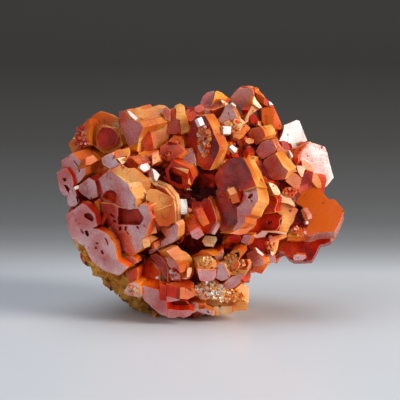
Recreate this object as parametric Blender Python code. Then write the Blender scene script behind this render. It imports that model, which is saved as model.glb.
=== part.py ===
"""Vanadinite specimen: six-sided crystals grown together on a lump of iron-stained rock.

Metres, +Z up, front towards -Y. The origin is under the middle of the specimen, on the flat
underside of the rock. Lengths in the tables are millimetres and angles are degrees.
"""

from math import cos, radians, sin
from random import Random

import bmesh
import bpy
from mathutils import Matrix, Vector, noise

MM = 0.001

# The specimen stands on the flat underside of its rock.
REST_GAP = 0.6  # how far the crystals stay above the surface that the rock rests on
FIT_GAP = 0.3  # clearance between the crystals and the rock that they grow on
MIDDLE = Vector((0.321, 3.015, 0.0))  # middle of the specimen's outline, in the tables' own frame

# The places in the front table are measured on an upright sheet that faces a viewer
# 450 mm away and 8 degrees above level, and "back" is the depth behind that sheet.
VIEW_DISTANCE = 450.0
VIEW_LIFT = radians(8)
SHEET_MIDDLE = Vector((0.0, 0.0, 20.2))
SHEET_MIDDLE_UP = 21.0

# Rock: the main lump, which leans back towards its top, and a low shoulder at its left foot.
ROCK = (
    # middle, radii, shift right and back per mm of height
    (Vector((-4.0, 7.0, 14.6)), Vector((14.0, 11.5, 17.0)), (-0.12, 0.36)),
    (Vector((-12.0, 0.3, 8.6)), Vector((6.4, 6.2, 6.4)), (-0.30, 0.10)),
)
ROCK_SWELL = 0.16  # share by which its broad hollows and swells move the surface
ROCK_SWELL_SIZE = 2.1  # larger is finer
ROCK_RIDGES = 0.13  # the same for its ridges
ROCK_RIDGE_SIZE = 3.4
ROCK_FINENESS = 4

# Crust of massive and small crystals that joins the large ones in front of the rock.
CRUST_LUMPS = 0.06
CRUST_LUMP_SIZE = 3.0
CRUST_FINENESS = 3
CRUST = (
    # middle, radii
    ((-0.5, 3.5, 20.5), (20.5, 12.5, 13.5)),
    ((-1.6, -1.6, 8.9), (9.8, 7.6, 6.9)),
    ((-15.5, -2.5, 17.5), (6.2, 5.5, 7.5)),
)

EVEN = (1, 1, 1, 1, 1, 1)
TALL = (0.9, 1.2, 1.2, 0.9, 1.2, 1.2)

# Each crystal: where the middle of its front face shows (across, up, back), which way that
# face looks (turn to the right, lift upwards), its roll, the distance from its axis to its
# sides, its length, and how far out each of the six sides stands, as a share of that distance.
FRONT_CRYSTALS = (
    # Stacked plate left of the middle
    ((-13.2, 18.4, -10.5), (-50, -8), -3, 6.0, 5.6, (1.2, 0.7, 1.5, 1.15, 0.43, 1.3)),
    ((-13.2, 18.4, -10.3), (-50, -8), -3, 6.0, 5.6, (1.0, 0.6, 1.0, 0.75, 0.72, 1.0)),
    ((-13.2, 18.4, -10.1), (-50, -8), -3, 6.0, 6.6, (1.2, 0.62, 0.8, 0.32, 0.98, 1.25)),
    ((-9.4, 19.8, -9.1), (-50, -8), -3, 4.6, 5.4, (0.62, 0.66, 0.9, 0.8, 0.8, 0.9)),
    ((-11.4, 21.6, -10.3), (-50, -8), 10, 1.5, 3.0, (0.9, 0.9, 0.9, 0.9, 0.9, 0.9)),
    # Three plates below it, at the left edge
    ((-20.5, 17.0, -9.2), (-26, -8), 4, 3.0, 4.0, (0.85, 0.95, 1.0, 1.0, 1.35, 1.2)),
    ((-16.6, 12.2, -9.4), (-26, -8), 4, 3.0, 3.2, (0.66, 0.77, 1.25, 1.0, 1.03, 1.2)),
    ((-15.2, 10.3, -9.3), (-26, -8), 4, 2.4, 3.6, (1.2, 0.25, 0.8, 1.0, 0.9, 1.0)),
    # Left edge
    ((-22.0, 26.8, -6.0), (-30, -4), -4, 2.1, 8.0, (1.0, 0.95, 1.0, 1.0, 1.0, 1.0)),
    ((-23.6, 24.0, -5.0), (-32, -4), 9, 1.8, 7.0, (1, 1.1, 1.1, 0.85, 1.2, 1.1)),
    ((-22.4, 21.2, -6.0), (-30, -6), 20, 1.3, 7.0, EVEN),
    ((-19.7, 22.8, -7.0), (-26, -6), 12, 2.0, 6.0, (0.9, 1, 1, 1, 1.1, 1.2)),
    ((-15.9, 27.4, -7.0), (-30, -8), 0, 1.5, 5.0, EVEN),
    ((-13.6, 27.6, -8.0), (-20, -10), 20, 0.8, 4.0, EVEN),
    ((-10.4, 27.8, -7.4), (-54, -14), 10, 1.3, 3.4, EVEN),
    ((-7.9, 28.0, -7.4), (-40, -6), 14, 0.9, 4.0, EVEN),
    ((-9.6, 26.2, -9.4), (30, 20), 20, 0.9, 4.0, EVEN),
    ((-7.6, 25.6, -9.0), (36, 14), 10, 0.8, 4.0, EVEN),
    # Upper left
    ((-16.3, 32.3, -2.4), (-6, 4), 6, 1.9, 6.0, EVEN),
    ((-17.2, 34.3, 0.4), (-14, 5), 6, 2.0, 6.0, EVEN),
    ((-19.8, 32.1, -0.6), (-40, 2), 12, 1.8, 6.0, EVEN),
    ((-21.8, 30.4, -2.0), (-36, 0), 16, 1.15, 6.0, EVEN),
    # Tall crystal turned to the left, and the small ones on its right
    ((-12.2, 33.5, -5.0), (-56, -8), 2, 3.3, 5.0, (0.86, 0.88, 0.95, 0.95, 1.1, 1.1)),
    ((-9.3, 31.4, -6.0), (-50, -4), 2, 1.5, 3.8, (0.8, 1.5, 1.5, 1.0, 1.6, 1.6)),
    ((-6.4, 36.2, -3.4), (4, 16), 10, 1.15, 5.0, EVEN),
    ((-4.9, 36.6, -4.0), (-24, 62), 0, 0.75, 6.0, EVEN),
    ((-3.7, 37.3, -4.0), (-30, 64), 10, 0.85, 6.0, EVEN),
    ((-5.0, 33.1, -5.2), (-40, -8), 0, 1.1, 4.8, EVEN),
    ((-1.2, 35.6, -3.4), (-10, 30), 10, 1.0, 5.0, EVEN),
    ((-0.2, 37.0, -3.0), (-20, 40), 10, 0.8, 5.0, EVEN),
    ((-4.7, 29.9, -7.0), (-26, -22), 20, 1.45, 6.5, EVEN),
    ((-1.9, 28.6, -8.0), (-20, 4), 14, 1.2, 4.0, (0.8, 1, 1, 1, 1.1, 1.1)),
    ((-4.7, 24.6, -8.6), (-21, -29), 4, 2.05, 3.6, EVEN),
    # Dark face above the middle, and the top of the specimen
    ((0.1, 30.6, -8.4), (-36, 0), 28, 3.6, 2.6, (1.0, 1.25, 1.1, 0.8, 1.0, 1.0)),
    ((2.4, 37.9, -2.2), (-14, 6), 22, 2.0, 6.0, EVEN),
    ((2.6, 36.1, -3.6), (-6, -20), 20, 1.4, 4.0, EVEN),
    ((5.1, 35.6, -4.6), (-30, 0), 30, 1.5, 3.0, (0.9, 1.5, 0.9, 1.3, 1.2, 1.1)),
    ((7.5, 38.6, -1.6), (-30, 0), 28, 2.0, 5.0, (1.0, 1, 1, 1, 0.95, 1.0)),
    ((10.0, 36.6, -0.6), (-50, 0), 6, 2.6, 3.4, (0.7, 0.82, 0.8, 0.6, 1.1, 1.1)),
    ((11.8, 34.2, -0.8), (-46, 0), 16, 2.0, 3.4, (0.9, 0.9, 1, 1, 1, 1)),
    ((6.0, 30.9, -6.8), (-44, 2), 30, 1.8, 1.9, (0.7, 1.1, 1, 1, 1.1, 1.2)),
    ((9.9, 32.1, -3.8), (-34, 0), 14, 1.75, 3.4, EVEN),
    ((11.65, 29.85, -4.6), (-8, 4), -15, 1.5, 4.0, (1.1, 1, 1, 1.1, 1, 1)),
    ((13.1, 26.6, -5.2), (-36, -8), 34, 2.4, 3.2, (1.0, 1.08, 1.2, 1.12, 0.92, 1.25)),
    # The two large plates right of the middle, with two small crystals on them
    ((6.1, 24.8, -11.2), (-36, 12), 24, 3.4, 3.6, (1.0, 1.15, 1.04, 1.0, 1.0, 0.9)),
    ((6.9, 20.0, -10.4), (-36, 14), 22, 3.4, 3.2, (1.2, 1.0, 1, 1.3, 1.4, 0.78)),
    ((6.1, 21.3, -12.6), (-14, -44), 12, 0.8, 3.4, EVEN),
    ((8.1, 14.2, -10.4), (-16, 0), 18, 0.85, 4.2, EVEN),
    # Right edge
    ((14.9, 34.2, 3.6), (-108, 67), 12, 2.4, 5.4, EVEN),
    ((20.4, 27.4, 0.2), (24, 6), 15, 3.3, 8.0, (0.71, 0.97, 1.15, 0.9, 1.1, 1.27)),
    ((18.7, 24.8, -1.6), (10, 0), 14, 1.1, 5.0, EVEN),
    ((17.2, 26.2, -1.4), (-30, -10), 0, 1.1, 5.0, EVEN),
    ((20.3, 19.2, -3.6), (-4, 30), 33, 4.0, 4.8, (0.68, 1.1, 1.25, 0.95, 1.08, 1.15)),
    ((20.3, 19.2, -3.7), (-4, 30), 33, 4.0, 4.8, (1.03, 0.5, 1.0, 0.9, 1.08, 1.15)),
    ((17.4, 13.2, -3.4), (-6, 24), 2, 2.5, 6.0, (1.1, 1, 1, 1.2, 0.95, 0.95)),
    ((18.2, 18.8, -5.2), (-40, -40), 10, 0.55, 5.6, EVEN),
    ((15.0, 20.9, -6.2), (-20, 62), 4, 1.7, 5.2, EVEN),
    ((11.7, 22.4, -7.0), (-50, -10), 10, 1.3, 2.8, EVEN),
    ((11.4, 16.9, -6.4), (-6, 18), 20, 1.9, 5.0, EVEN),
    ((12.0, 12.7, -5.4), (-30, -4), 8, 1.7, 4.0, EVEN),
    # Open middle
    ((-0.5, 15.2, -11.8), (26, -36), 10, 0.85, 6.0, EVEN),
    ((1.2, 18.5, -10.2), (-26, 0), 18, 1.9, 2.6, (0.95, 1.3, 1.2, 1, 1.4, 1.1)),
    ((0.9, 17.4, -11.4), (26, -36), 10, 0.6, 5.0, EVEN),
    ((1.7, 13.9, -9.6), (-20, -20), 20, 1.15, 4.0, EVEN),
    ((5.6, 14.4, -9.6), (-6, -46), 10, 1.6, 4.0, EVEN),
    ((-0.3, 22.6, -6.4), (-10, -20), 10, 0.8, 4.0, EVEN),
    # Below the middle
    ((-5.8, 9.3, -11.0), (-48, -8), 40, 2.1, 3.6, EVEN),
    ((1.1, 8.6, -11.6), (20, -14), 0, 1.6, 5.0, TALL),
    ((3.6, 8.5, -10.6), (-16, -6), 8, 1.1, 5.0, TALL),
    ((5.4, 10.8, -9.8), (-24, -24), 0, 1.4, 5.4, EVEN),
    ((9.4, 10.8, -8.6), (-26, -2), 20, 1.35, 5.4, EVEN),
    ((5.5, 6.7, -9.2), (-10, 0), 14, 1.3, 5.0, EVEN),
    ((10.2, 9.1, -7.4), (-10, -16), 20, 0.9, 5.0, (1.6, 0.8, 0.8, 1.6, 0.8, 0.8)),
    ((6.3, 9.6, -10.4), (-24, 0), 12, 0.75, 3.4, TALL),
    ((8.0, 9.6, -10.0), (-24, 0), 14, 0.75, 3.4, TALL),
    # Foot
    ((-11.7, 5.0, -10.4), (-24, -10), -8, 1.1, 6.0, (1.2, 0.9, 0.9, 1.2, 0.9, 0.9)),
    ((-11.8, 7.6, -9.0), (-20, -10), 10, 1.1, 6.0, EVEN),
    ((-9.0, 8.8, -8.0), (-34, 4), 10, 1.7, 4.0, EVEN),
    ((-8.4, 3.9, -11.0), (-26, -16), 14, 2.0, 5.0, (1, 0.9, 1, 1, 1, 1.3)),
    ((-4.0, 4.0, -9.0), (-5, -74), 6, 3.2, 2.4, EVEN),
    ((-3.6, 1.9, -8.6), (-5, -66), 6, 2.8, 1.9, EVEN),
    ((3.6, 3.9, -6.4), (5, 70), 8, 3.6, 2.6, EVEN),
    ((6.8, 4.6, -7.0), (10, 20), 10, 1.6, 5.0, EVEN),
)

# Crystals over the sides, the top and the back of the crust, in rings round its middle: how
# high the ring looks, the turn of its first and last crystal, how many, and their size.
RINGS = (
    (-42, 84, 116, 3, 1.7),
    (-20, 92, 128, 3, 2.3),
    (4, 84, 138, 5, 2.9),
    (28, 84, 150, 5, 2.6),
    (50, 100, 262, 7, 2.4),
    (-42, 246, 276, 3, 1.7),
    (-20, 236, 264, 3, 2.2),
    (4, 222, 278, 5, 2.8),
    (28, 210, 276, 5, 2.6),
    (72, 70, 290, 5, 2.2),
    (58, -50, 50, 4, 1.7),
)
RING_SEED = 5
RING_LENGTH = 6.0
RING_SHIFT = 0.3  # largest shift along the ring, as a share of the spacing
RING_LIFT = 6  # largest change of the angle at which a crystal stands, in degrees
RING_REACH = (1.0, 1.1)  # where its front stands, as a share of the crust's radii
RING_TURN = 28  # largest turn and lift of the crystal away from the crust's own direction
RING_TILT = 22
RING_SIDES = (0.85, 1.2)
RING_SIZE = (0.8, 1.15)

# Groups of crystals on the bare rock at the back. Each crystal: where it stands on the main
# lump (turn, lift), which way it faces, its roll, the distance to its sides, its height.
BACK_GROUPS = {
    "back_crystals_left": (
        ((196, 20), (190, 30), 10, 2.6, 2.4),
        ((208, 14), (222, 8), 25, 2.0, 2.2),
        ((200, 6), (196, -14), 40, 1.6, 1.8),
        ((187, 12), (172, 6), 5, 1.4, 1.6),
    ),
    "back_crystals_right": (
        ((160, -6), (152, -4), 20, 2.4, 2.2),
        ((150, 3), (140, 18), 12, 1.8, 2.0),
        ((170, -13), (178, -26), 33, 1.7, 1.9),
    ),
    "back_crystals_low": (
        ((222, -24), (228, -20), 15, 2.0, 2.0),
        ((211, -30), (204, -42), 8, 1.5, 1.7),
        ((232, -15), (246, -8), 30, 1.5, 1.8),
    ),
}
BACK_SUNK = 2.2  # how deep these crystals sit in the rock

SLAB = 80.0  # side of the cube that cuts off what is below the resting surface


def clear_scene():
    for thing in list(bpy.data.objects):
        bpy.data.objects.remove(thing)


def material(name, colour, roughness):
    made = bpy.data.materials.new(name)
    made.use_nodes = True
    shader = made.node_tree.nodes["Principled BSDF"]
    shader.inputs["Base Color"].default_value = (*colour, 1)
    shader.inputs["Roughness"].default_value = roughness
    shader.inputs["Metallic"].default_value = 0
    return made


def place(name, mesh, finish):
    """The mesh, drawn in millimetres, as an object in metres."""
    bmesh.ops.transform(mesh, matrix=Matrix.Scale(MM, 4) @ Matrix.Translation(-MIDDLE), verts=mesh.verts)
    bmesh.ops.recalc_face_normals(mesh, faces=mesh.faces)
    data = bpy.data.meshes.new(name)
    mesh.to_mesh(data)
    mesh.free()
    data.materials.append(finish)
    made = bpy.data.objects.new(name, data)
    bpy.context.scene.collection.objects.link(made)
    return made


def helper(name, mesh, finish):
    """An object that is only cut from another one or added to it."""
    made = place(name, mesh, finish)
    made.hide_render = True
    made.display_type = "WIRE"
    return made


def seen(across, up, back):
    """The point at the depth back that shows at this place of the front sheet."""
    rise = Vector((0, sin(VIEW_LIFT), cos(VIEW_LIFT)))
    eye = SHEET_MIDDLE + Vector((0, -cos(VIEW_LIFT), sin(VIEW_LIFT))) * VIEW_DISTANCE
    on_sheet = SHEET_MIDDLE + Vector((across, 0, 0)) + rise * (up - SHEET_MIDDLE_UP)
    ray = on_sheet - eye
    return eye + ray * ((back - eye.y) / ray.y)


def looking(turn, lift):
    """The direction that is turned to the right of the viewer and lifted, in degrees."""
    t, l = radians(turn), radians(lift)
    return Vector((sin(t) * cos(l), -cos(t) * cos(l), sin(l)))


def hexagon(apothem, sides):
    """Corners of a hexagon whose six sides stand at their own distances from its middle."""
    corners = []
    for i in range(6):
        a, b = radians(60 * i), radians(60 * i + 60)
        near, far = apothem * sides[i], apothem * sides[(i + 1) % 6]
        corners.append(Vector((near * sin(b) - far * sin(a), far * cos(a) - near * cos(b), 0)) / sin(b - a))
    return corners


def crystal(middle, facing, roll, apothem, length, sides):
    """A six-sided crystal whose front face is centred at middle, with its body behind it."""
    mesh = bmesh.new()
    front = mesh.faces.new([mesh.verts.new(corner) for corner in hexagon(apothem, sides)])
    grown = bmesh.ops.extrude_face_region(mesh, geom=[front])["geom"]
    rear = [part for part in grown if isinstance(part, bmesh.types.BMVert)]
    bmesh.ops.translate(mesh, verts=rear, vec=(0, 0, -length))
    out = looking(*facing)
    level = Vector((cos(radians(facing[0])), sin(radians(facing[0])), 0))
    turned = Matrix((level, out.cross(level), out)).transposed().to_4x4()
    spin = Matrix.Rotation(radians(roll), 4, "Z")
    bmesh.ops.transform(mesh, matrix=Matrix.Translation(middle) @ turned @ spin, verts=mesh.verts)
    return mesh


def rock_surface(lump, direction, grow=0.0):
    """The point of a lump's surface in this direction from its middle, grown by a distance."""
    middle, radii, (lean_right, lean_back) = lump
    swell = noise.noise(direction * ROCK_SWELL_SIZE + middle)
    ridge = 0.5 - 2 * abs(noise.noise(direction * ROCK_RIDGE_SIZE - middle))
    reach = Vector([(r + grow) * d for r, d in zip(radii, direction)])
    reach *= 1 + ROCK_SWELL * swell + ROCK_RIDGES * ridge
    reach.x += lean_right * reach.z
    reach.y += lean_back * reach.z
    return middle + reach


def rock_mesh(lump, grow=0.0):
    mesh = bmesh.new()
    bmesh.ops.create_icosphere(mesh, subdivisions=ROCK_FINENESS, radius=1)
    for vert in mesh.verts:
        vert.co = rock_surface(lump, vert.co.normalized(), grow)
    return mesh


def crust_mesh(middle, radii):
    mesh = bmesh.new()
    bmesh.ops.create_icosphere(mesh, subdivisions=CRUST_FINENESS, radius=1)
    for vert in mesh.verts:
        direction = vert.co.normalized()
        swell = 1 + CRUST_LUMPS * noise.noise(direction * CRUST_LUMP_SIZE + Vector(middle))
        vert.co = Vector([m + r * d * swell for m, r, d in zip(middle, radii, direction)])
    return mesh


def ring_crystals():
    """The crystals over the sides, the top and the back, each with a little scatter of its own."""
    scatter = Random(RING_SEED)
    middle, radii = CRUST[0]
    meshes = []
    for lift, first, last, count, size in RINGS:
        for i in range(count):
            step = i + scatter.uniform(-RING_SHIFT, RING_SHIFT)
            turn = first + (last - first) * step / (count - 1)
            out = looking(turn, lift + scatter.uniform(-RING_LIFT, RING_LIFT))
            reach = scatter.uniform(*RING_REACH)
            at = Vector([m + r * d * reach for m, r, d in zip(middle, radii, out)])
            facing_turn = turn + scatter.uniform(-RING_TURN, RING_TURN)
            facing = (facing_turn, lift + scatter.uniform(-RING_TILT, RING_TILT))
            sides = [scatter.uniform(*RING_SIDES) for side in range(6)]
            roll, apothem = scatter.uniform(0, 60), size * scatter.uniform(*RING_SIZE)
            meshes.append(crystal(at, facing, roll, apothem, RING_LENGTH, sides))
    return meshes


def combine(target, operation, helpers):
    """One Boolean of the target with all the helpers."""
    group = bpy.data.collections.new(target.name + "_" + operation.lower())
    for helper in helpers:
        group.objects.link(helper)
    cut = target.modifiers.new(operation.capitalize(), "BOOLEAN")
    cut.operation = operation
    cut.operand_type = "COLLECTION"
    cut.collection = group
    cut.solver = "EXACT"


def floor_cutter(height, finish):
    """A block whose top is at this height, wider than the specimen."""
    mesh = bmesh.new()
    bmesh.ops.create_cube(mesh, size=SLAB)
    bmesh.ops.translate(mesh, verts=mesh.verts, vec=(0, 0, height - SLAB / 2))
    return helper("floor_cutter", mesh, finish)


def back_crystal(stands, facing, roll, apothem, height, grow=0.0):
    """A crystal that is sunk in the main lump of the rock; grown, it is the socket for it."""
    at = rock_surface(ROCK[0], looking(*stands)) + looking(*facing) * height
    return crystal(at, facing, roll, apothem + grow, height + BACK_SUNK + grow, EVEN)


def build_cluster(red, ochre):
    """The crust with all the crystals that grew into it, hollowed behind where the rock is."""
    cluster = place("crystal_cluster", crust_mesh(*CRUST[0]), red)
    grown = [crust_mesh(*lump) for lump in CRUST[1:]]
    for at, facing, roll, apothem, length, sides in FRONT_CRYSTALS:
        grown.append(crystal(seen(*at), facing, roll, apothem, length, sides))
    grown += ring_crystals()
    combine(cluster, "UNION", [helper(f"grown_{i}", mesh, red) for i, mesh in enumerate(grown)])
    cutters = [helper(f"seat_{i}", rock_mesh(lump, FIT_GAP), ochre) for i, lump in enumerate(ROCK)]
    cutters.append(floor_cutter(REST_GAP, ochre))
    combine(cluster, "DIFFERENCE", cutters)


def build_back_group(name, rows, red):
    """One group of crystals on the back of the rock."""
    group = place(name, back_crystal(*rows[0]), red)
    others = [helper(f"{name}_{i}", back_crystal(*row), red) for i, row in enumerate(rows[1:])]
    combine(group, "UNION", others)


def build_matrix(ochre):
    """The rock, flat below, with a socket for each crystal on its back."""
    matrix = place("matrix", rock_mesh(ROCK[0]), ochre)
    combine(matrix, "UNION", [helper("shoulder", rock_mesh(ROCK[1]), ochre)])
    cutters = [floor_cutter(0, ochre)]
    for name, rows in BACK_GROUPS.items():
        for i, row in enumerate(rows):
            cutters.append(helper(f"{name}_socket_{i}", back_crystal(*row, grow=FIT_GAP), ochre))
    combine(matrix, "DIFFERENCE", cutters)


def build():
    clear_scene()
    red = material("vanadinite", (0.42, 0.07, 0.02), 0.3)
    ochre = material("iron-stained rock", (0.28, 0.15, 0.04), 0.9)
    build_cluster(red, ochre)
    build_matrix(ochre)
    for name, rows in BACK_GROUPS.items():
        build_back_group(name, rows, red)


build()
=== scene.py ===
from math import cos, pi, radians, sin
from random import Random

import bmesh
import bpy
from mathutils import Matrix, Vector, noise


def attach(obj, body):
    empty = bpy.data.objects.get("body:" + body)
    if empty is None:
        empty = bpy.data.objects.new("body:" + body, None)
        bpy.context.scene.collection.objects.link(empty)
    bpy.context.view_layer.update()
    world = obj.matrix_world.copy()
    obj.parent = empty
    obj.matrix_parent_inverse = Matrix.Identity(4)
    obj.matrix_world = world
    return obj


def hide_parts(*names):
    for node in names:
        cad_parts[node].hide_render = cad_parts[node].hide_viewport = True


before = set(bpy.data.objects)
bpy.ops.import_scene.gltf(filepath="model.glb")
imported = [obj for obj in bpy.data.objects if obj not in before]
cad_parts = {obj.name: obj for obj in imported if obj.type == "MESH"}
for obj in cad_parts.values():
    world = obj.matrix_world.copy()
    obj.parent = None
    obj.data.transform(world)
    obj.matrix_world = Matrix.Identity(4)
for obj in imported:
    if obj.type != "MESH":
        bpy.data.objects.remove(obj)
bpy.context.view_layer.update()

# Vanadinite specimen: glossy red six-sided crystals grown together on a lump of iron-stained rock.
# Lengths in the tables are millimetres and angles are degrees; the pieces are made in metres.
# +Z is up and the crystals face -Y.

MM = 0.001
MIDDLE = Vector((0.321, 3.015, 0.0))  # middle of the specimen's outline, in the tables' own frame
TO_FRAME = Matrix.Scale(MM, 4) @ Matrix.Translation(-MIDDLE)

# The places in the front tables are measured on an upright sheet that faces a viewer
# 450 mm away and 8 degrees above level, and "back" is the depth behind that sheet.
VIEW_DISTANCE = 450.0
VIEW_LIFT = radians(8)
SHEET_MIDDLE = Vector((0.0, 0.0, 20.2))
SHEET_MIDDLE_UP = 21.0
SHEET_WIDTH = 70.0
SENSOR = 36.0
RISE = Vector((0, sin(VIEW_LIFT), cos(VIEW_LIFT)))
EYE = SHEET_MIDDLE + Vector((0, -cos(VIEW_LIFT), sin(VIEW_LIFT))) * VIEW_DISTANCE

# Rock: the main lump, which leans back towards its top, a low shoulder at its left foot, and a
# smaller one beyond that, under the crystals at the left edge.
ROCK = (
    # middle, radii, shift right and back per mm of height
    (Vector((-4.0, 7.0, 14.6)), Vector((14.0, 11.5, 17.0)), (-0.12, 0.36)),
    (Vector((-12.0, 0.3, 8.6)), Vector((6.4, 6.2, 6.4)), (-0.30, 0.10)),
    (Vector((-17.2, -3.2, 12.2)), Vector((4.2, 3.6, 5.4)), (-0.35, 0.10)),
)
ROCK_FINENESS = (7, 6, 6)
ROCK_SWELL = 0.16  # share by which its broad hollows and swells move the surface
ROCK_SWELL_SIZE = 2.1  # larger is finer
ROCK_RIDGES = 0.13  # the same for its ridges
ROCK_RIDGE_SIZE = 3.4
ROCK_GRAIN = 0.45  # height of its fine lumps
ROCK_GRAIN_SIZE = 0.55
ROCK_GRAIN_OCTAVES = (1.0, 2.2, 4)  # falloff, step between the octaves, how many
ROCK_BLOCKS = 0.35  # height of the blocks in its surface
ROCK_BLOCK_SIZE = 0.9
ROCK_SUNK = 0.4  # how far grain and blocks start below the lump's surface
ROCK_RIGHT = 6  # right of this place the rock sticks out by a share only
ROCK_RIGHT_SHARE = 0.3

# Crust of massive and small crystals that joins the large ones in front of the rock.
CRUST = (
    # middle, radii
    ((-0.5, 3.5, 20.5), (20.5, 12.5, 13.5)),
    ((-1.6, -1.6, 8.9), (9.8, 7.6, 6.9)),
    ((-15.5, -2.5, 17.5), (6.2, 5.5, 7.5)),
)
CRUST_FINENESS = 6
CRUST_LUMPS = 0.06
CRUST_LUMP_SIZE = 3.0
CRUST_BLOCKS = 0.35
CRUST_BLOCK_SIZE = 26
CRUST_SUNK = 0.4  # how deep it lies at least under the surface that the small crystals stand on

# The finishes of a crystal's faces, in the order of the pieces' material slots: the name of the
# material, its roughness, strength of the growth bands, inner glow and index of refraction, and
# its shadow, body and bright colour.
FINISHES = {
    # mauve: the crystal's red, with part of the mirrored floor's sheen painted into its body and bright
    # colour
    "mauve": (
        "mauve_painted_sheen_face", 0.24, 0.3, 0.2, 3.0, (0.46, 0.016, 0.004), (0.50, 0.060, 0.042), (0.58, 0.19, 0.18)),
    "deep": (
        "deep_red_face", 0.26, 0.3, 0.3, 1.5, (0.16, 0.002, 0.0), (0.40, 0.010, 0.001), (0.70, 0.060, 0.003)),
    "fire": (
        "fire_red_face", 0.30, 0.4, 0.35, 1.5, (0.44, 0.010, 0.0), (0.74, 0.060, 0.002), (0.88, 0.20, 0.008)),
    "tan": (
        "tan_side", 0.42, 0.9, 0.25, 1.5, (0.52, 0.085, 0.004), (0.62, 0.19, 0.020), (0.82, 0.40, 0.11)),
    "amber": (
        "amber_side", 0.36, 0.9, 0.35, 1.6, (0.50, 0.025, 0.001), (0.70, 0.12, 0.004), (0.86, 0.30, 0.02)),
    "pale": (
        "pale_face", 0.30, 0.8, 0.25, 1.6, (0.60, 0.20, 0.05), (0.70, 0.35, 0.14), (0.84, 0.62, 0.40)),
    "pit": (
        "pit_face", 0.5, 0.4, 0.3, 1.4, (0.16, 0.003, 0.0), (0.42, 0.014, 0.001), (0.70, 0.06, 0.003)),
    # rim: bright orange on the bevels, a painted highlight along the crystal edges
    "rim": (
        "painted_edge_highlight", 0.35, 0.4, 0.4, 1.7, (0.62, 0.11, 0.005), (0.84, 0.29, 0.03), (0.94, 0.56, 0.22)),
    # white: near-white facets, a painted glint where a facet mirrors the key light
    "white": (
        "painted_glint_facet", 0.34, 0.8, 0.1, 1.7, (0.40, 0.34, 0.32), (0.56, 0.54, 0.54), (0.72, 0.74, 0.77)),
    # rose: pale pink-grey, a painted sheen of mirrored light over the crystal's red
    "rose": (
        "rose_painted_sheen_face", 0.28, 0.4, 0.2, 2.0, (0.48, 0.15, 0.11), (0.53, 0.26, 0.23), (0.64, 0.48, 0.47)),
    # dark: near-black red, painted shade on the druse deep in the openings
    "dark": (
        "painted_shade_face", 0.6, 0.4, 0.1, 1.15, (0.02, 0.0006, 0.0003), (0.09, 0.003, 0.001), (0.26, 0.010, 0.003)),
    "flame": (
        "flame_face", 0.32, 0.6, 0.4, 1.4, (0.56, 0.090, 0.003), (0.64, 0.19, 0.008), (0.84, 0.42, 0.04)),
    "brown": (
        "brown_side", 0.46, 1.2, 0.25, 1.35, (0.36, 0.050, 0.004), (0.44, 0.11, 0.012), (0.56, 0.20, 0.045)),
}
FINISH_SLOTS = {finish: slot for slot, finish in enumerate(FINISHES)}

EVEN = (1, 1, 1, 1, 1, 1)

# Six-sided crystals that stand between the outlined ones below: the finish of the front face
# and of the sides, where the middle of the front face shows (across, up, back), which way that
# face looks (turn to the right, lift upwards), its roll, the distance from its axis to its
# sides, its length, and how far out each of the six sides stands, as a share of that distance.
FRONT_CRYSTALS = (
    ("amber", "amber", (-10.4, 27.8, -7.4), (-54, -14), 10, 1.3, 3.4, EVEN),
    ("tan", "tan", (-7.9, 28.0, -7.4), (-40, -6), 14, 0.9, 4.0, EVEN),
    ("amber", "tan", (-4.9, 36.6, -4.0), (-24, 62), 0, 0.75, 6.0, EVEN),
    ("tan", "amber", (-3.7, 37.3, -4.0), (-30, 64), 10, 0.85, 6.0, EVEN),
    ("amber", "amber", (-1.2, 35.6, -3.4), (-10, 30), 10, 1.0, 5.0, EVEN),
    ("amber", "tan", (-0.2, 37.0, -3.0), (-20, 40), 10, 0.8, 5.0, EVEN),
    ("deep", "fire", (-4.7, 29.9, -7.0), (-26, -22), 20, 1.45, 6.5, EVEN),
    ("mauve", "pale", (-1.9, 28.6, -8.0), (-20, 4), 14, 1.2, 4.0, (0.8, 1, 1, 1, 1.1, 1.1)),
)
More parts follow.
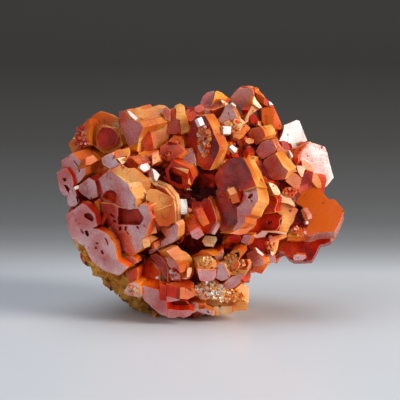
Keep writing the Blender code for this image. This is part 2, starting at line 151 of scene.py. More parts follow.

# Crystals whose front faces have outlines of their own: the finish of the face and of the sides,
# which way the face looks, a point of its plane (across, up, back), how thick the crystal is,
# the corners of the outline (across, up), and the depth and outline of each pit in the face.
# Rows in the white finish are painted glints; mauve and rose faces carry painted sheen.
PLATES = (
    # Large stacked crystal left of the middle: upper plate, lower plate, thick middle, rear plate
    ("mauve", "tan", (-50, -14), (-14.7, 22.8, -10.9), 2.7, (
        (-18, 24.5), (-15.9, 26.3), (-14.3, 25.2), (-12.5, 23.7), (-12.2, 22.8), (-11.2, 21.2),
        (-11.2, 19.6), (-12.4, 19.3), (-14.3, 19.9), (-15.4, 20.4), (-17.3, 20.7)),
     (0.9, ((-17.1, 21.6), (-16.6, 22.4), (-15.8, 22.8), (-15, 22.6), (-14.6, 22), (-14.7, 21.2),
        (-14.8, 20.4), (-15.4, 20.7), (-16.4, 21), (-16.9, 21.2)))),
    ("mauve", "amber", (-42, -12), (-13.1, 16.1, -10.4), 2.2, (
        (-17.5, 20.6), (-15.4, 20.4), (-14.3, 19.9), (-12.4, 19.5), (-11.2, 19.9), (-10.1, 20.4),
        (-8.9, 19.9), (-8.9, 18.9), (-8.3, 17.8), (-8.8, 16.8), (-9.1, 16.1), (-9.3, 14.7), (-10.1, 14),
        (-10, 12.6), (-11.5, 11.4), (-12.2, 11.1), (-13.8, 12.3), (-14.3, 14), (-14.9, 15), (-15.9, 16.1),
        (-17, 17.7), (-17.5, 19.2)),
     (0.9, ((-14.3, 19.7), (-13.2, 19.5), (-11.3, 19.5), (-10.8, 19.5), (-10.3, 18.6), (-9.8, 17.8),
        (-10.1, 17.2), (-10.6, 16.6), (-14.3, 16.7), (-14.4, 17.3), (-14.3, 18.5))),
     (0.4, ((-15.9, 18.8), (-15.2, 18.4), (-14.7, 18), (-15, 17.8), (-15.7, 18.2))),
     (0.4, ((-17, 18.4), (-16.4, 18.4), (-16.2, 17.9), (-16.7, 17.8))),
     (0.4, ((-15.4, 17.6), (-14.7, 17.4), (-14.6, 17), (-15.2, 17.1))),
     (0.5, ((-14.2, 16.3), (-13.8, 16.4), (-13.7, 15.9), (-14, 15.5), (-14.2, 15.7))),
     (0.5, ((-13.2, 16.4), (-12.9, 16.4), (-12.9, 15.7), (-13.2, 15.7))),
     (0.4, ((-12.9, 15.6), (-12.4, 15.1), (-12.6, 14.9))),
     (0.4, ((-11.2, 16.4), (-10.8, 16.5), (-10.7, 15.9), (-11, 16)))),
    ("amber", "tan", (-50, -14), (-10.5, 21.9, -11), 4, (
        (-16.8, 24.5), (-15.4, 25.5), (-12.6, 23.4), (-10.8, 22), (-10.7, 21), (-9.4, 19.9), (-8.8, 18.2),
        (-10.5, 15), (-14.3, 16.4))),
    ("amber", "tan", (-19, 29), (-12.1, 24.1, -13.4), 3.4, (
        (-15.7, 26.2), (-13.7, 27.2), (-12.6, 26.6), (-12.1, 24.1), (-12.6, 23.9), (-14.2, 25.1))),
    ("brown", "amber", (25, 35), (-12.1, 24.1, -13.4), 3, (
        (-12.6, 26.6), (-11.4, 26.7), (-8.6, 24.5), (-12.1, 24.1))),
    ("brown", "amber", (29, -4), (-12.1, 24.1, -13.4), 3, (
        (-12.1, 24.1), (-8.6, 24.5), (-8.6, 23.4), (-9.4, 22.6), (-11.2, 21.8), (-12.4, 22.9),
        (-12.6, 23.9))),
    ("pale", "amber", (35, 0), (-11.2, 20.8, -13.9), 2.4, (
        (-11.2, 21.8), (-9.4, 22.6), (-9.3, 21.5), (-10, 20.6), (-11.2, 19.8))),
    ("mauve", "pale", (-50, -14), (-6.1, 16.6, -7.9), 1.4, (
        (-9.1, 25.2), (-8.4, 24.2), (-6.1, 23.2), (-4.7, 21.5), (-4.4, 19.9), (-4.3, 16.8), (-4.2, 14.7),
        (-5.1, 13.8), (-7.3, 12.6), (-8.8, 11.8), (-9.3, 12.2), (-11.5, 10.8), (-12.2, 15.7),
        (-10.5, 22.8))),
    # Pale and red blocks in its lower right notch
    ("pale", "tan", (10, 10), (-9.4, 13.6, -12.6), 1.8, (
        (-10.2, 14.1), (-9, 14.7), (-8.7, 14), (-8.7, 12.9), (-9.8, 12.5), (-10.1, 13.3))),
    ("pale", "amber", (16, 0), (-8.4, 15.9, -12.8), 1.6, (
        (-9.1, 16.3), (-7.7, 16.6), (-7.5, 15.2), (-8.9, 15))),
    ("fire", "fire", (20, 10), (-7.2, 13.5, -10.2), 1.4, (
        (-8.2, 13.5), (-7, 14.1), (-5.9, 14.6), (-6.5, 13.3), (-7.9, 12.4))),
    ("amber", "fire", (20, 30), (-8.2, 14.3, -10.6), 1.2, (
        (-8.8, 14.7), (-8, 14.8), (-7.3, 14.3), (-8.5, 13.7))),
    ("deep", "fire", (10, 5), (-7.2, 16.8, -10), 1.4, (
        (-7.9, 17.1), (-7.3, 17.9), (-6.5, 18), (-6.5, 16.3), (-7.3, 15.5))),
    ("mauve", "fire", (-30, -20), (-8, 12.2, -8.8), 1.4, (
        (-9.1, 12.2), (-8.4, 12.5), (-6.8, 12.8), (-8.4, 11.6), (-8.9, 11.5))),
    # Plate at the left edge, and the ones above it
    ("mauve", "fire", (-26, -8), (-18.4, 14, -9.4), 2, (
        (-23.5, 18.4), (-20.6, 20.4), (-19.9, 20.1), (-18.4, 18.5), (-18, 16.5), (-18.8, 16),
        (-17.8, 15.9), (-16.1, 14.9), (-15, 13.3), (-14.5, 10.5), (-12.6, 9.2), (-14.2, 7.8),
        (-16.8, 8.6), (-18.9, 10.3), (-20.3, 12.9), (-22.4, 14.1), (-23.2, 16.4)),
     (0.5, ((-20.3, 18.5), (-19.7, 18.8), (-19.1, 18.6), (-18.6, 17.8), (-18.8, 17.2), (-19.4, 17.5),
        (-20.2, 17.9))),
     (0.5, ((-20.2, 15.6), (-19.7, 15.7), (-19.4, 15), (-19.6, 14.5), (-20, 14.9))),
     (0.4, ((-18.2, 13.6), (-17.8, 13.6), (-17.8, 13.3), (-18.2, 13.3))),
     (0.35, ((-16.8, 14.4), (-16.3, 14.2), (-16, 13.4), (-16.1, 12.9), (-16.3, 13.4), (-16.5, 13.9))),
     (0.35, ((-17.4, 12.2), (-17, 12.2), (-16.8, 11.5), (-17.2, 11.5))),
     (0.3, ((-18.4, 12.8), (-18.1, 12.8), (-18, 12.5), (-18.3, 12.4)))),
    ("mauve", "fire", (-26, -8), (-12.4, 9.8, -9.2), 1.6, (
        (-13.3, 11), (-12.4, 11.3), (-11.2, 10.8), (-10.8, 10.1), (-12.5, 9.1), (-13, 9.8))),
    ("mauve", "tan", (-30, -4), (-22, 26.6, -6), 8, (
        (-24.3, 27.9), (-22.4, 29.2), (-21.5, 28.4), (-20.1, 27.1), (-20.1, 25.4), (-21.2, 24),
        (-22.8, 23.4), (-24, 24.5), (-24.2, 26.6)),
     (0.35, ((-22.2, 27.9), (-22, 27.9), (-21.2, 26.9), (-21, 26.1), (-21.2, 25.7), (-21.3, 26.4),
        (-21.5, 27)))),
    ("mauve", "fire", (-30, -4), (-23.6, 24.1, -5.6), 5, (
        (-25.1, 25.8), (-24.2, 26.5), (-23.4, 26.6), (-22.4, 25.2), (-22.1, 23.8), (-22.4, 22.4),
        (-23.4, 21.6), (-24, 21.9), (-24.6, 22.8)),
     (0.5, ((-24.1, 24.8), (-23.4, 24.9), (-23.4, 24.3), (-23.8, 24.2))),
     (0.5, ((-23.9, 23.7), (-23.3, 23.6), (-22.7, 22.9), (-22.6, 22.2), (-23, 22.1), (-23.4, 22.8)))),
    ("mauve", "fire", (-28, -6), (-22.2, 21, -6), 5, (
        (-23.3, 21.6), (-22.8, 22.8), (-22, 23.1), (-21.5, 21.7), (-21.1, 20.6), (-21.9, 19.9),
        (-22.9, 19.9), (-23.2, 20.5)),
     (0.5, ((-21.8, 21.7), (-21.4, 21.6), (-21.2, 20.6), (-21.4, 20.4), (-21.6, 21.1)))),
    ("mauve", "fire", (-26, -6), (-19.4, 22.9, -7), 5, (
        (-21.1, 23.7), (-19.5, 24.9), (-18.4, 24.3), (-18.1, 23.3), (-17.9, 21.6), (-19.1, 21),
        (-20.6, 21.9), (-21.5, 22.8))),
    ("white", "white", (29, 17), (-21.5, 23.3, -8.2), 0.8, (
        (-22, 23.2), (-21.7, 23.5), (-21.2, 23.6), (-21.2, 23), (-21.9, 22.7))),
    ("tan", "tan", (36, 24), (-18.9, 28, -7.4), 3, (
        (-20, 28.4), (-18.7, 28.9), (-17.7, 28), (-19.1, 27.2), (-20, 27.1))),
    # Facets painted white as glints, and pale facets, between the large crystals
    ("white", "pale", (29, 17), (-9.6, 26.6, -10), 1, (
        (-10.6, 26.6), (-10.3, 27.2), (-9.2, 27.5), (-8.7, 26.9), (-8.8, 26.3), (-9.7, 25.9))),
    ("white", "white", (31, 18), (-7.7, 25.4, -10.2), 1, (
        (-8.4, 26.6), (-7.7, 26.2), (-7, 25.4), (-7.6, 24.2), (-8, 24.8))),
    ("white", "pale", (28, 16), (-2.8, 19.9, -9.6), 1.6, (
        (-3.6, 21.2), (-2.3, 21.2), (-2.1, 19.2), (-2.3, 18.5), (-3.4, 18.5))),
    ("pale", "pale", (10, 30), (-6.1, 22.9, -9), 1.2, (
        (-8.4, 23.9), (-7.7, 24.2), (-6.1, 23.7), (-5.3, 23.1), (-4, 21.5), (-3.6, 20.3), (-4.1, 20.5),
        (-5.7, 22.1), (-7, 22.9))),
    ("pale", "tan", (20, 20), (-7.7, 28.3, -9), 3, (
        (-8.4, 28.9), (-7.3, 29.4), (-6.9, 27.9), (-8.3, 27.1))),
    ("amber", "amber", (0, 50), (-10.3, 28.2, -8.6), 2.4, (
        (-12.2, 28.6), (-10.8, 28.9), (-8.6, 28.3), (-8.6, 27.5), (-10.7, 27.2))),
    ("tan", "fire", (-4, 40), (-3.8, 31.5, -6.6), 3, (
        (-4.7, 31.4), (-3.4, 32), (-2.8, 31.5), (-2.6, 29.8))),
    ("pale", "fire", (-14, 60), (-3.1, 26.6, -9.6), 1.4, (
        (-5.4, 27.1), (-4.8, 28.2), (-1.8, 26.7), (-2.2, 25.6))),
    ("pale", "fire", (50, 8), (-1.8, 25.2, -9.8), 1.4, (
        (-2.2, 25.5), (-1.7, 26.6), (-1.1, 24.8), (-1.6, 23.6), (-2, 23.8))),
    ("mauve", "pale", (-16, 4), (-2.1, 28.3, -7.8), 3, (
        (-3.2, 28.9), (-2.6, 29.9), (-1.3, 30.1), (-1, 28.7), (-0.7, 26.9), (-1.7, 27), (-2.9, 28))),
    ("brown", "amber", (10, 32), (-7, 20.6, -13.8), 2, (
        (-9.5, 22), (-8.8, 22.9), (-7.7, 22.9), (-4.5, 21.3), (-4.8, 20.2), (-8, 19), (-8.6, 20.1),
        (-9.3, 20.5))),
    ("brown", "fire", (24, -6), (-6.5, 18.4, -14.2), 2, (
        (-8.2, 19), (-4.8, 20.2), (-4.5, 19.8), (-4.5, 17.1), (-5.6, 16.4), (-7.1, 16.4), (-7.9, 17.7))),
    ("mauve", "pale", (-40, -12), (-5.2, 15, -12), 1.8, (
        (-7, 15.9), (-5.2, 16.1), (-4.2, 17.1), (-3.8, 16.4), (-3.9, 14.5), (-4.9, 13.5), (-7, 12.6),
        (-7.3, 13.3), (-5.9, 14.5))),
    ("fire", "amber", (-30, 20), (-5.2, 29.9, -7.4), 3, (
        (-7, 30.3), (-4.9, 31.7), (-4.2, 31.3), (-2.6, 29.6), (-3.7, 28.5), (-5.6, 28.3), (-7, 29.2))),
    # Hollow crystal above the open middle
    ("fire", "amber", (-22, -8), (-3.7, 25.2, -9.2), 3, (
        (-6.1, 26.2), (-5.4, 27.1), (-4.7, 28), (-1.8, 26.6), (-1.1, 24.8), (-1.6, 23.6), (-2.1, 23),
        (-3.7, 23), (-5.6, 24.1)),
     (2, ((-5.5, 26.2), (-5, 26.8), (-3.6, 26.2), (-2.3, 25.5), (-2.1, 24.1), (-3.6, 23.7), (-5.2, 24.5)))),
    # Left edge, above the stacked crystal
    ("mauve", "fire", (-24, -8), (-15.7, 28, -7.6), 3, (
        (-17.3, 28.3), (-16.2, 29), (-15.2, 29.3), (-14.7, 28), (-13.8, 27.1), (-15.7, 26.4), (-17, 27.1))),
    ("amber", "fire", (0, 40), (-13.8, 29.6, -7), 2, (
        (-15.4, 29.3), (-14, 29.8), (-12.4, 30.2), (-12.2, 29.4), (-12.9, 28), (-14.7, 28))),
    ("pale", "tan", (20, 10), (-13.8, 28, -8.2), 1.2, (
        (-14.5, 28.3), (-13.1, 28.6), (-12.8, 27.9), (-13.6, 27.1))),
    ("deep", "deep", (10, 0), (-11.9, 27.6, -7.6), 2, (
        (-12.9, 27.9), (-12.3, 28.6), (-10.7, 27.1), (-10.8, 26.7), (-12.6, 26.9))),
    # Upper left
    ("flame", "amber", (-10, 10), (-16.8, 35.2, 0.2), 5, (
        (-19.2, 35.4), (-18.4, 36.1), (-17.4, 36.6), (-16, 36.2), (-15.3, 35.7), (-14.2, 35.3),
        (-14.1, 34.7), (-15.7, 34.3), (-17.5, 33.9), (-19.1, 34.6))),
    ("pale", "tan", (30, 20), (-14.9, 34.1, -0.8), 1.5, (
        (-15.7, 34.4), (-14.1, 34.7), (-14.1, 33.6), (-14.4, 33.1), (-15.1, 33.8))),
    ("amber", "fire", (0, 20), (-18.2, 34.1, -0.6), 1.5, (
        (-19.2, 34.6), (-17.3, 34.1), (-17.4, 33.6), (-18.6, 34))),
    ("flame", "amber", (-20, 4), (-16.4, 31.5, -1.8), 5, (
        (-19.2, 32.7), (-18.5, 33.8), (-17, 34.2), (-14.9, 33.7), (-14, 32.5), (-13.5, 30.6),
        (-15.3, 29.4), (-16.8, 29.1), (-18.6, 30.4))),
    ("deep", "fire", (-10, 4), (-16.3, 32, -3), 2, (
        (-18.3, 31.8), (-17.8, 33.1), (-17, 33.9), (-15.6, 33.7), (-14.7, 33.1), (-14.2, 32.1),
        (-14.6, 30.8), (-16.1, 30), (-17.7, 30.1))),
    ("flame", "flame", (-30, 6), (-21, 32.4, -1.6), 5, (
        (-23.1, 30.8), (-22.7, 31.3), (-21.5, 32.8), (-21.1, 33.6), (-19.5, 35.3), (-19.2, 34.3),
        (-19.2, 32.4), (-19.2, 30.6), (-20.9, 30.1), (-22.5, 29.3))),
    # Tall crystal turned to the left, with its long right side, and the small ones beside it
    ("mauve", "tan", (-56, -8), (-12.2, 33.5, -5), 5, (
        (-14.2, 36.4), (-12.9, 36.8), (-11.4, 34.9), (-10.5, 34.6), (-9.9, 33.7), (-10.7, 31.8),
        (-11, 29.4), (-12.5, 30.4), (-13.3, 32.2), (-13.9, 33.8))),
    ("tan", "tan", (20, 4), (-7.7, 33.2, -5.6), 4, (
        (-10, 35.1), (-8.6, 35.6), (-6.9, 36.1), (-5.3, 35.2), (-5.3, 33.2), (-5.5, 30.6), (-6.6, 30.1),
        (-7.9, 29.8), (-8.4, 31.5), (-8.9, 33.8))),
    ("tan", "tan", (0, 50), (-8.4, 36.4, -4.8), 3, (
        (-12.1, 36.6), (-10.4, 37.2), (-9.9, 36.8), (-7.1, 37.7), (-6, 37.5), (-5.2, 36.7), (-5.3, 35.3),
        (-6.8, 36.2), (-10, 35.2), (-10.8, 35.5))),
    ("white", "pale", (29, 17), (-11.5, 36, -6.2), 1, (
        (-12.7, 36.5), (-12.4, 36.7), (-10.7, 35.3), (-11.3, 34.9), (-12.2, 35.7))),
    ("amber", "fire", (30, 0), (-10, 32.4, -6), 3, (
        (-9.9, 33.9), (-9, 33.9), (-9.6, 32.6), (-10.1, 31), (-9.9, 29.1), (-10.8, 29.3), (-11, 29.7),
        (-10.7, 31.8))),
    ("deep", "fire", (-10, 0), (-8.9, 31.1, -6.6), 3, (
        (-9, 33.7), (-8.6, 32.9), (-8, 30), (-8.8, 28.7), (-9.9, 29.1), (-10.1, 31), (-9.6, 32.6))),
    ("mauve", "tan", (4, 16), (-5.9, 36.2, -5.6), 3, (
        (-6.5, 36.8), (-6, 37.4), (-5.2, 36.7), (-5.2, 34.9), (-6.1, 35.2))),
    ("amber", "fire", (-20, 10), (-4.7, 35.3, -5), 4, (
        (-5.2, 36.7), (-4.4, 37.1), (-4.2, 35.2), (-3.5, 34.8), (-3.4, 32.5), (-5.6, 32.5), (-5.9, 33.1),
        (-5.2, 35.3))),
    ("tan", "amber", (0, 20), (-3.1, 35.2, -5.6), 3, (
        (-4.2, 37.6), (-3.5, 37.9), (-2.7, 37.3), (-2.6, 36.2), (-2.3, 35.6), (-1.9, 34.1), (-2, 33),
        (-3.3, 32.5), (-3.5, 35), (-4.2, 35.2))),
    ("amber", "fire", (-10, -10), (-2.4, 22.2, -8), 2, (
        (-3.4, 22), (-2.6, 22.8), (-1.4, 22.8), (-1.6, 22), (-2.3, 21.4))),
    ("white", "pale", (29, 17), (-1.8, 23, -8.8), 1, (
        (-2.3, 23.2), (-1.3, 23.1), (-1.3, 22.7), (-2.3, 22.8))),
    # Dark face above the middle, and the facets round it painted white as glints
    ("deep", "tan", (-36, 0), (0.1, 30.6, -8.4), 2.6, (
        (-2, 32.5), (-1.6, 34.8), (-0.7, 35.8), (0.9, 35.9), (1.6, 34.8), (2, 34), (2.6, 32.4),
        (3.5, 30.4), (3.4, 29.6), (2.6, 27.8), (1.8, 26.2), (0.5, 26.4), (-1.4, 28), (-2.3, 29.7))),
    ("white", "white", (29, 17), (0.2, 34.7, -9.2), 1, (
        (-0.5, 35.2), (0.3, 35.6), (0.9, 34.2), (0.1, 33.9))),
    ("white", "white", (29, 17), (4.7, 33.2, -8.6), 1.2, (
        (4, 34), (5.5, 33.9), (5.4, 32.5), (4.1, 32.5))),
    ("white", "white", (29, 17), (5.9, 30, -8.8), 1, (
        (5.1, 30.3), (5.6, 30.7), (6.6, 30), (6.2, 29.2))),
    ("pale", "tan", (10, 10), (8.7, 31.3, -6), 1.5, (
        (7.9, 31.7), (8.6, 31.9), (9.4, 31.6), (9.4, 31), (8.6, 30.8), (8, 31.1))),
    # Top
    ("mauve", "amber", (-6, 10), (1.8, 38.5, -2.2), 4, (
        (0, 37.3), (0.1, 38.1), (0.5, 39.1), (1.2, 39.8), (2.3, 40.1), (2.7, 39.7), (2.4, 38.5),
        (2.7, 38.2), (3, 38.6), (3.7, 38.6), (4.2, 37.6), (2.4, 37.2), (1.4, 36.8), (0.5, 36.8))),
    ("amber", "amber", (20, 40), (3.7, 39.2, -2.5), 3, (
        (2.4, 38.4), (2.7, 40), (3.1, 40.1), (3.8, 39.8), (4.9, 38.9), (4.3, 38.5), (3.6, 38.7),
        (2.8, 38.7))),
    ("deep", "fire", (10, 20), (4.7, 38.5, -1.6), 2, (
        (3.8, 39.1), (5, 38.9), (5.2, 38.7), (4.9, 37.8), (4.2, 38.5))),
    ("pale", "tan", (34, 14), (4.2, 38.1, -2.8), 1.5, (
        (3.6, 38.6), (3.9, 38.6), (5, 37.8), (4.5, 37.5), (4.1, 37.7))),
    ("mauve", "tan", (-20, -10), (1.2, 36.2, -3), 3, (
        (0.6, 36.9), (1.4, 36.8), (2.2, 36.8), (2, 36), (2.1, 35.3), (1.4, 35.7), (0.8, 36))),
    ("deep", "tan", (-10, -20), (3.1, 36.4, -3.6), 3, (
        (2.1, 36.8), (3, 37), (4.2, 37.4), (4.1, 36.8), (3.7, 35.9), (3.1, 35.4), (2.1, 35.3), (1.9, 36))),
    ("amber", "amber", (0, 40), (3, 37.1, -3.9), 1, (
        (1.6, 36.8), (4.2, 37.6), (4.2, 37.3), (2.2, 36.7))),
    ("rose", "tan", (-16, 8), (5.1, 35.9, -4.8), 2.4, (
        (3.2, 35.2), (3.7, 35.8), (4.2, 36.8), (4.4, 37.5), (4.9, 37.8), (5.5, 37.8), (5.7, 37.3),
        (6.1, 36.6), (6.5, 35.7), (6.7, 34.9), (6.2, 34.6), (5.8, 34.4), (5.4, 33.9), (3.9, 34),
        (3.6, 34.4))),
    ("white", "white", (31, 20), (5.9, 37.7, -5.2), 0.6, (
        (5.5, 38), (5.7, 38.1), (6.4, 37.5), (6.2, 37.3), (5.6, 37.7))),
    ("pale", "tan", (24, 14), (7.3, 34.7, -4.6), 1, (
        (6.8, 35.3), (7.3, 35.2), (8, 34.6), (7.9, 34.2), (7.1, 34.7))),
    ("tan", "amber", (10, 20), (2.3, 34.1, -6), 2, (
        (1.5, 35.3), (2.1, 35.3), (3, 35.3), (3.5, 34.5), (3.8, 32.7), (2.8, 32.7), (2.1, 33.8))),
    ("amber", "tan", (10, 20), (7, 33.4, -6), 3, (
        (5.9, 34.1), (6.8, 34.7), (8.2, 34.2), (8.8, 33.6), (8, 32.7), (7, 31.7), (5.8, 32), (5.5, 33.1))),
    ("rose", "amber", (-20, 4), (7.5, 38.7, 0.2), 3.4, (
        (5.1, 38.5), (5.6, 39.3), (6.3, 40.2), (7, 40.5), (7.9, 40.6), (8.8, 40.7), (9.2, 40.4),
        (9.5, 39.5), (9.4, 39), (9.2, 38.3), (9, 37.6), (8.6, 36.8), (7.2, 36.7), (6.7, 37.4), (6, 37.7),
        (5.4, 38))),
    ("fire", "amber", (-30, -20), (7.8, 36.2, -1.9), 3, (
        (7.1, 36.8), (8.6, 36.8), (7.8, 35.2))),
    ("amber", "tan", (0, 60), (8.4, 40.7, 2.2), 2, (
        (6.3, 40.2), (7, 40.8), (8.4, 41), (9.1, 41), (9.8, 40.5), (9.4, 40.2), (8.8, 40.6), (7.3, 40.4))),
    ("amber", "fire", (46, -4), (10.7, 39.2, 1.4), 3, (
        (9.7, 40.6), (10.5, 40), (11.2, 39.3), (11.5, 38.6), (11.2, 37.8), (10.5, 38), (9.8, 39),
        (9.5, 39.9))),
    ("amber", "tan", (38, -16), (12.2, 36.2, 0), 5, (
        (11.2, 39), (12, 38.4), (12.9, 37.4), (13.6, 35.9), (14.2, 34.5), (14.5, 33.2), (12.9, 33.4),
        (12.9, 37), (11.2, 37.7))),
    ("white", "pale", (29, 17), (12.3, 38.1, -0.8), 1, (
        (11.9, 38.4), (12.4, 38.2), (12.9, 37.6), (12.2, 37.6))),
    ("pale", "tan", (30, 14), (10, 38, -2), 1.5, (
        (9.5, 39.3), (9.8, 38.7), (10.9, 37.2), (10.5, 37), (10, 37.3), (9.3, 37.8), (9.2, 38.3))),
    ("pale", "tan", (30, 0), (9.1, 36.8, -2), 2, (
        (9.3, 37.9), (10.5, 37), (9.9, 36.7), (9.1, 35.9), (8.6, 35), (8, 34.3), (7.8, 35.2), (8.6, 36.8))),
    ("flame", "fire", (4, 6), (11.7, 35.3, -1.4), 3, (
        (10.7, 37), (11.7, 37.3), (12.9, 37), (12.9, 33.4), (11.5, 33.6), (10.8, 34.6))),
    ("pit", "pit", (0, 0), (10.3, 35.7, -0.6), 1, (
        (9.9, 36.7), (10.3, 36.6), (10.8, 34.8), (10.5, 34.6))),
    ("fire", "fire", (10, 0), (9.4, 35.2, -2.4), 2, (
        (8.8, 35.7), (9.4, 36.1), (10.1, 35.2), (10.5, 34.3), (9.6, 34.1), (8.8, 34.6))),
    ("pale", "tan", (30, 10), (10.3, 34.3, -2.8), 1, (
        (10.1, 34.8), (10.7, 34.8), (10.8, 33.9), (10.2, 34.1))),
    # Right of the dark face
    ("mauve", "tan", (-34, 0), (9.9, 32.1, -3.8), 3.4, (
        (8, 32.7), (8.9, 33.5), (10.6, 33.9), (11.2, 33.2), (11.5, 32.2), (11.1, 31.5), (9.8, 30.6),
        (8.8, 31.7))),
    ("mauve", "tan", (-16, 4), (11.6, 29.8, -5.4), 4, (
        (9.7, 29.5), (10.6, 31), (11.5, 31.4), (12.6, 31.6), (13.1, 30.9), (13.4, 30.1), (12.9, 29.2),
        (11.9, 28.6), (11, 28.2), (10.3, 28.5))),
    ("mauve", "tan", (-30, -8), (12.6, 26.9, -6), 3, (
        (10.7, 26.5), (11.2, 28), (12.1, 28.6), (13.2, 29.2), (13.8, 28.2), (14.5, 27), (15.5, 26.1),
        (15.2, 25.4), (14.9, 24.6), (13.1, 24.5), (11.6, 24.5), (11.1, 25.7))),
    ("tan", "tan", (30, 6), (14.9, 28.3, -4.6), 4, (
        (13.5, 30.1), (14, 30.4), (15, 29.6), (15.9, 28.3), (16.6, 26.8), (17.1, 25.9), (15.7, 25.9),
        (14.5, 27), (13.4, 29.4))),
    ("amber", "tan", (24, 10), (14, 30.4, -4), 3, (
        (12.9, 31.3), (13.7, 31.1), (14.7, 29.9), (15.6, 29.2), (15.9, 28.2), (14.9, 29), (13.5, 29.7))),
    ("mauve", "amber", (10, 0), (15, 30.4, -3.4), 2, (
        (14.2, 31.1), (15.1, 31.2), (15.7, 30.2), (15.7, 29.7), (15.1, 29.4), (14.5, 30.1))),
    ("white", "white", (29, 17), (15.9, 29, -4.8), 0.7, (
        (15.5, 29.6), (15.7, 29.8), (16.3, 28.8), (16.1, 28.3))),
    ("tan", "tan", (24, 0), (16.6, 24.7, -5.2), 3, (
        (15.6, 25.9), (16.4, 25.8), (17, 25.5), (17.8, 24.7), (17.4, 23.1), (16.8, 22.8), (16.3, 23.2),
        (15, 24.3))),
    ("pale", "tan", (24, 20), (17.7, 26.4, -3.2), 2, (
        (16.9, 27), (17.8, 27), (18.5, 26.5), (18.2, 25.9), (18, 25.1), (17.7, 25), (17.1, 26.1))),
    ("amber", "amber", (-16, 0), (16.8, 29.2, -2.2), 2, (
        (15.9, 30), (17.5, 30.4), (19, 31.1), (18, 30), (17.2, 28.9), (17.3, 27.7), (16.9, 27),
        (16.4, 27.6), (16, 28.4))),
    # Right edge
    ("white", "rose", (29, 17), (16.3, 32.7, 3), 4, (
        (14.7, 34.1), (16.9, 35), (17.4, 34.9), (18.8, 31.4), (17.6, 30.7), (16.1, 30), (15.3, 31.2),
        (13.7, 31), (14.3, 32.3), (14.6, 33.1))),
    ("rose", "fire", (22, 6), (20.3, 27.5, 0.2), 8, (
        (19, 31.2), (20.4, 30.8), (21.9, 30.3), (22.3, 29.2), (22.8, 27.1), (23.4, 24.9), (22.1, 23.3),
        (21.1, 23.3), (20.3, 25), (19.7, 26.1), (18.8, 27.5), (17.6, 28), (17.1, 28.9), (18, 30))),
    ("amber", "amber", (20, 20), (18.7, 27.3, -1), 2, (
        (17.7, 27.9), (18.4, 28), (19.4, 27.2), (20.1, 26.2), (19.6, 26), (18.7, 26.2), (17.9, 26.9))),
    ("deep", "fire", (10, 0), (18.7, 24.8, -2.8), 4, (
        (18, 25.3), (18.3, 25.7), (19.1, 26.2), (19.8, 25.8), (19.6, 24.3), (18.5, 23.7), (17.4, 23.3),
        (17.6, 24.3))),
    ("tan", "tan", (24, 0), (20.3, 24.5, -2.2), 3, (
        (19.8, 25.8), (20.6, 25.4), (21.2, 24.1), (21.3, 23.1), (20.5, 23.1), (19.6, 24.2))),
    ("flame", "rose", (-4, 30), (20.3, 19.2, -4), 3.3, (
        (17.1, 22.6), (17.5, 23.2), (18.5, 23.4), (20.4, 23.5), (20.9, 22.9), (21.7, 22), (22.5, 21.1),
        (23.6, 21.1), (25.2, 19.1), (24.6, 17.5), (23.6, 15.5), (20.6, 15.3), (19.2, 14.8), (18, 14.9),
        (19, 16.8), (18.9, 18.4), (17.8, 19.9), (16.8, 20.4), (16.6, 21.5))),
    ("rose", "fire", (10, -4), (23.1, 14.7, -3.4), 2, (
        (22.6, 15.4), (23.5, 15.5), (23.7, 14.2), (23.3, 13.8), (22.8, 14))),
    ("deep", "deep", (-6, 20), (17.5, 12.6, -3.4), 2.4, (
        (13.9, 13.9), (15.2, 14.6), (17, 14.6), (19.2, 14.6), (21, 14.7), (22.6, 15), (22.9, 13.8),
        (21.9, 13.3), (21, 13.2), (20.6, 12.4), (20, 11.2), (19.5, 10.4), (18, 10.3), (16.3, 10.3),
        (15.4, 10.8), (14.6, 11.9), (13.7, 12.1))),
    ("mauve", "fire", (-6, -10), (17.3, 10.9, -4.6), 1.2, (
        (16.2, 11.2), (16.8, 11.5), (18.4, 11.4), (18.6, 10.8), (18, 10.4), (16.4, 10.4))),
    ("tan", "tan", (16, 0), (15, 18.2, -6.2), 4, (
        (13.6, 20.6), (14.2, 20.6), (15.4, 20.4), (16.3, 19.9), (17.2, 19.3), (16.7, 18.4), (16.4, 17.3),
        (15.7, 16.3), (15.2, 15.1), (13.8, 15.5), (14, 16.4), (14.3, 16.9), (14.4, 18.3), (13.3, 18.9),
        (13.1, 19.6))),
    ("pale", "tan", (24, 26), (15, 21.2, -6.6), 2.5, (
        (14.2, 22), (14.9, 22), (15.7, 21.5), (16.5, 20.5), (16.6, 19.8), (15.4, 20.4), (14.2, 20.6),
        (13.6, 20.9), (13.9, 21.7))),
    ("fire", "fire", (-24, 0), (11.9, 21.3, -8), 3, (
        (10.6, 23.2), (11.5, 24.3), (12, 24), (12.4, 23.1), (12.8, 22), (13.1, 21.7), (13.5, 21.2),
        (13.6, 20.6), (13.1, 19.4), (13.3, 18.8), (12.6, 18.7), (11.1, 18.5), (11.4, 19.2), (11.9, 20.6),
        (11.4, 21.8))),
    ("pale", "tan", (34, 20), (13.1, 22.9, -8.6), 2, (
        (12, 24.1), (12.8, 23.9), (13.5, 23.4), (13.9, 22.8), (14.2, 22), (13.6, 21.8), (12.9, 22),
        (12.4, 23.1))),
    ("deep", "deep", (0, 10), (14.3, 23.4, -5), 2, (
        (12.2, 24.3), (13.5, 24.5), (15.4, 24.5), (16.1, 23.3), (15.9, 22.5), (14.7, 22.4), (14.1, 22.6),
        (13.5, 23.4))),
    ("deep", "rose", (-6, 18), (12.1, 17.1, -7), 4, (
        (9.9, 18.3), (10.8, 18.5), (12.6, 18.8), (14.2, 18.3), (14.3, 18), (13.9, 17.5), (14, 16.8),
        (13.6, 16), (13.1, 15.7), (11.2, 15.6), (10.1, 15), (8.8, 15.1), (8.7, 15.5), (9.4, 16.3),
        (9.8, 17.1))),
    ("rose", "fire", (10, 0), (12.6, 15.4, -7.6), 1.4, (
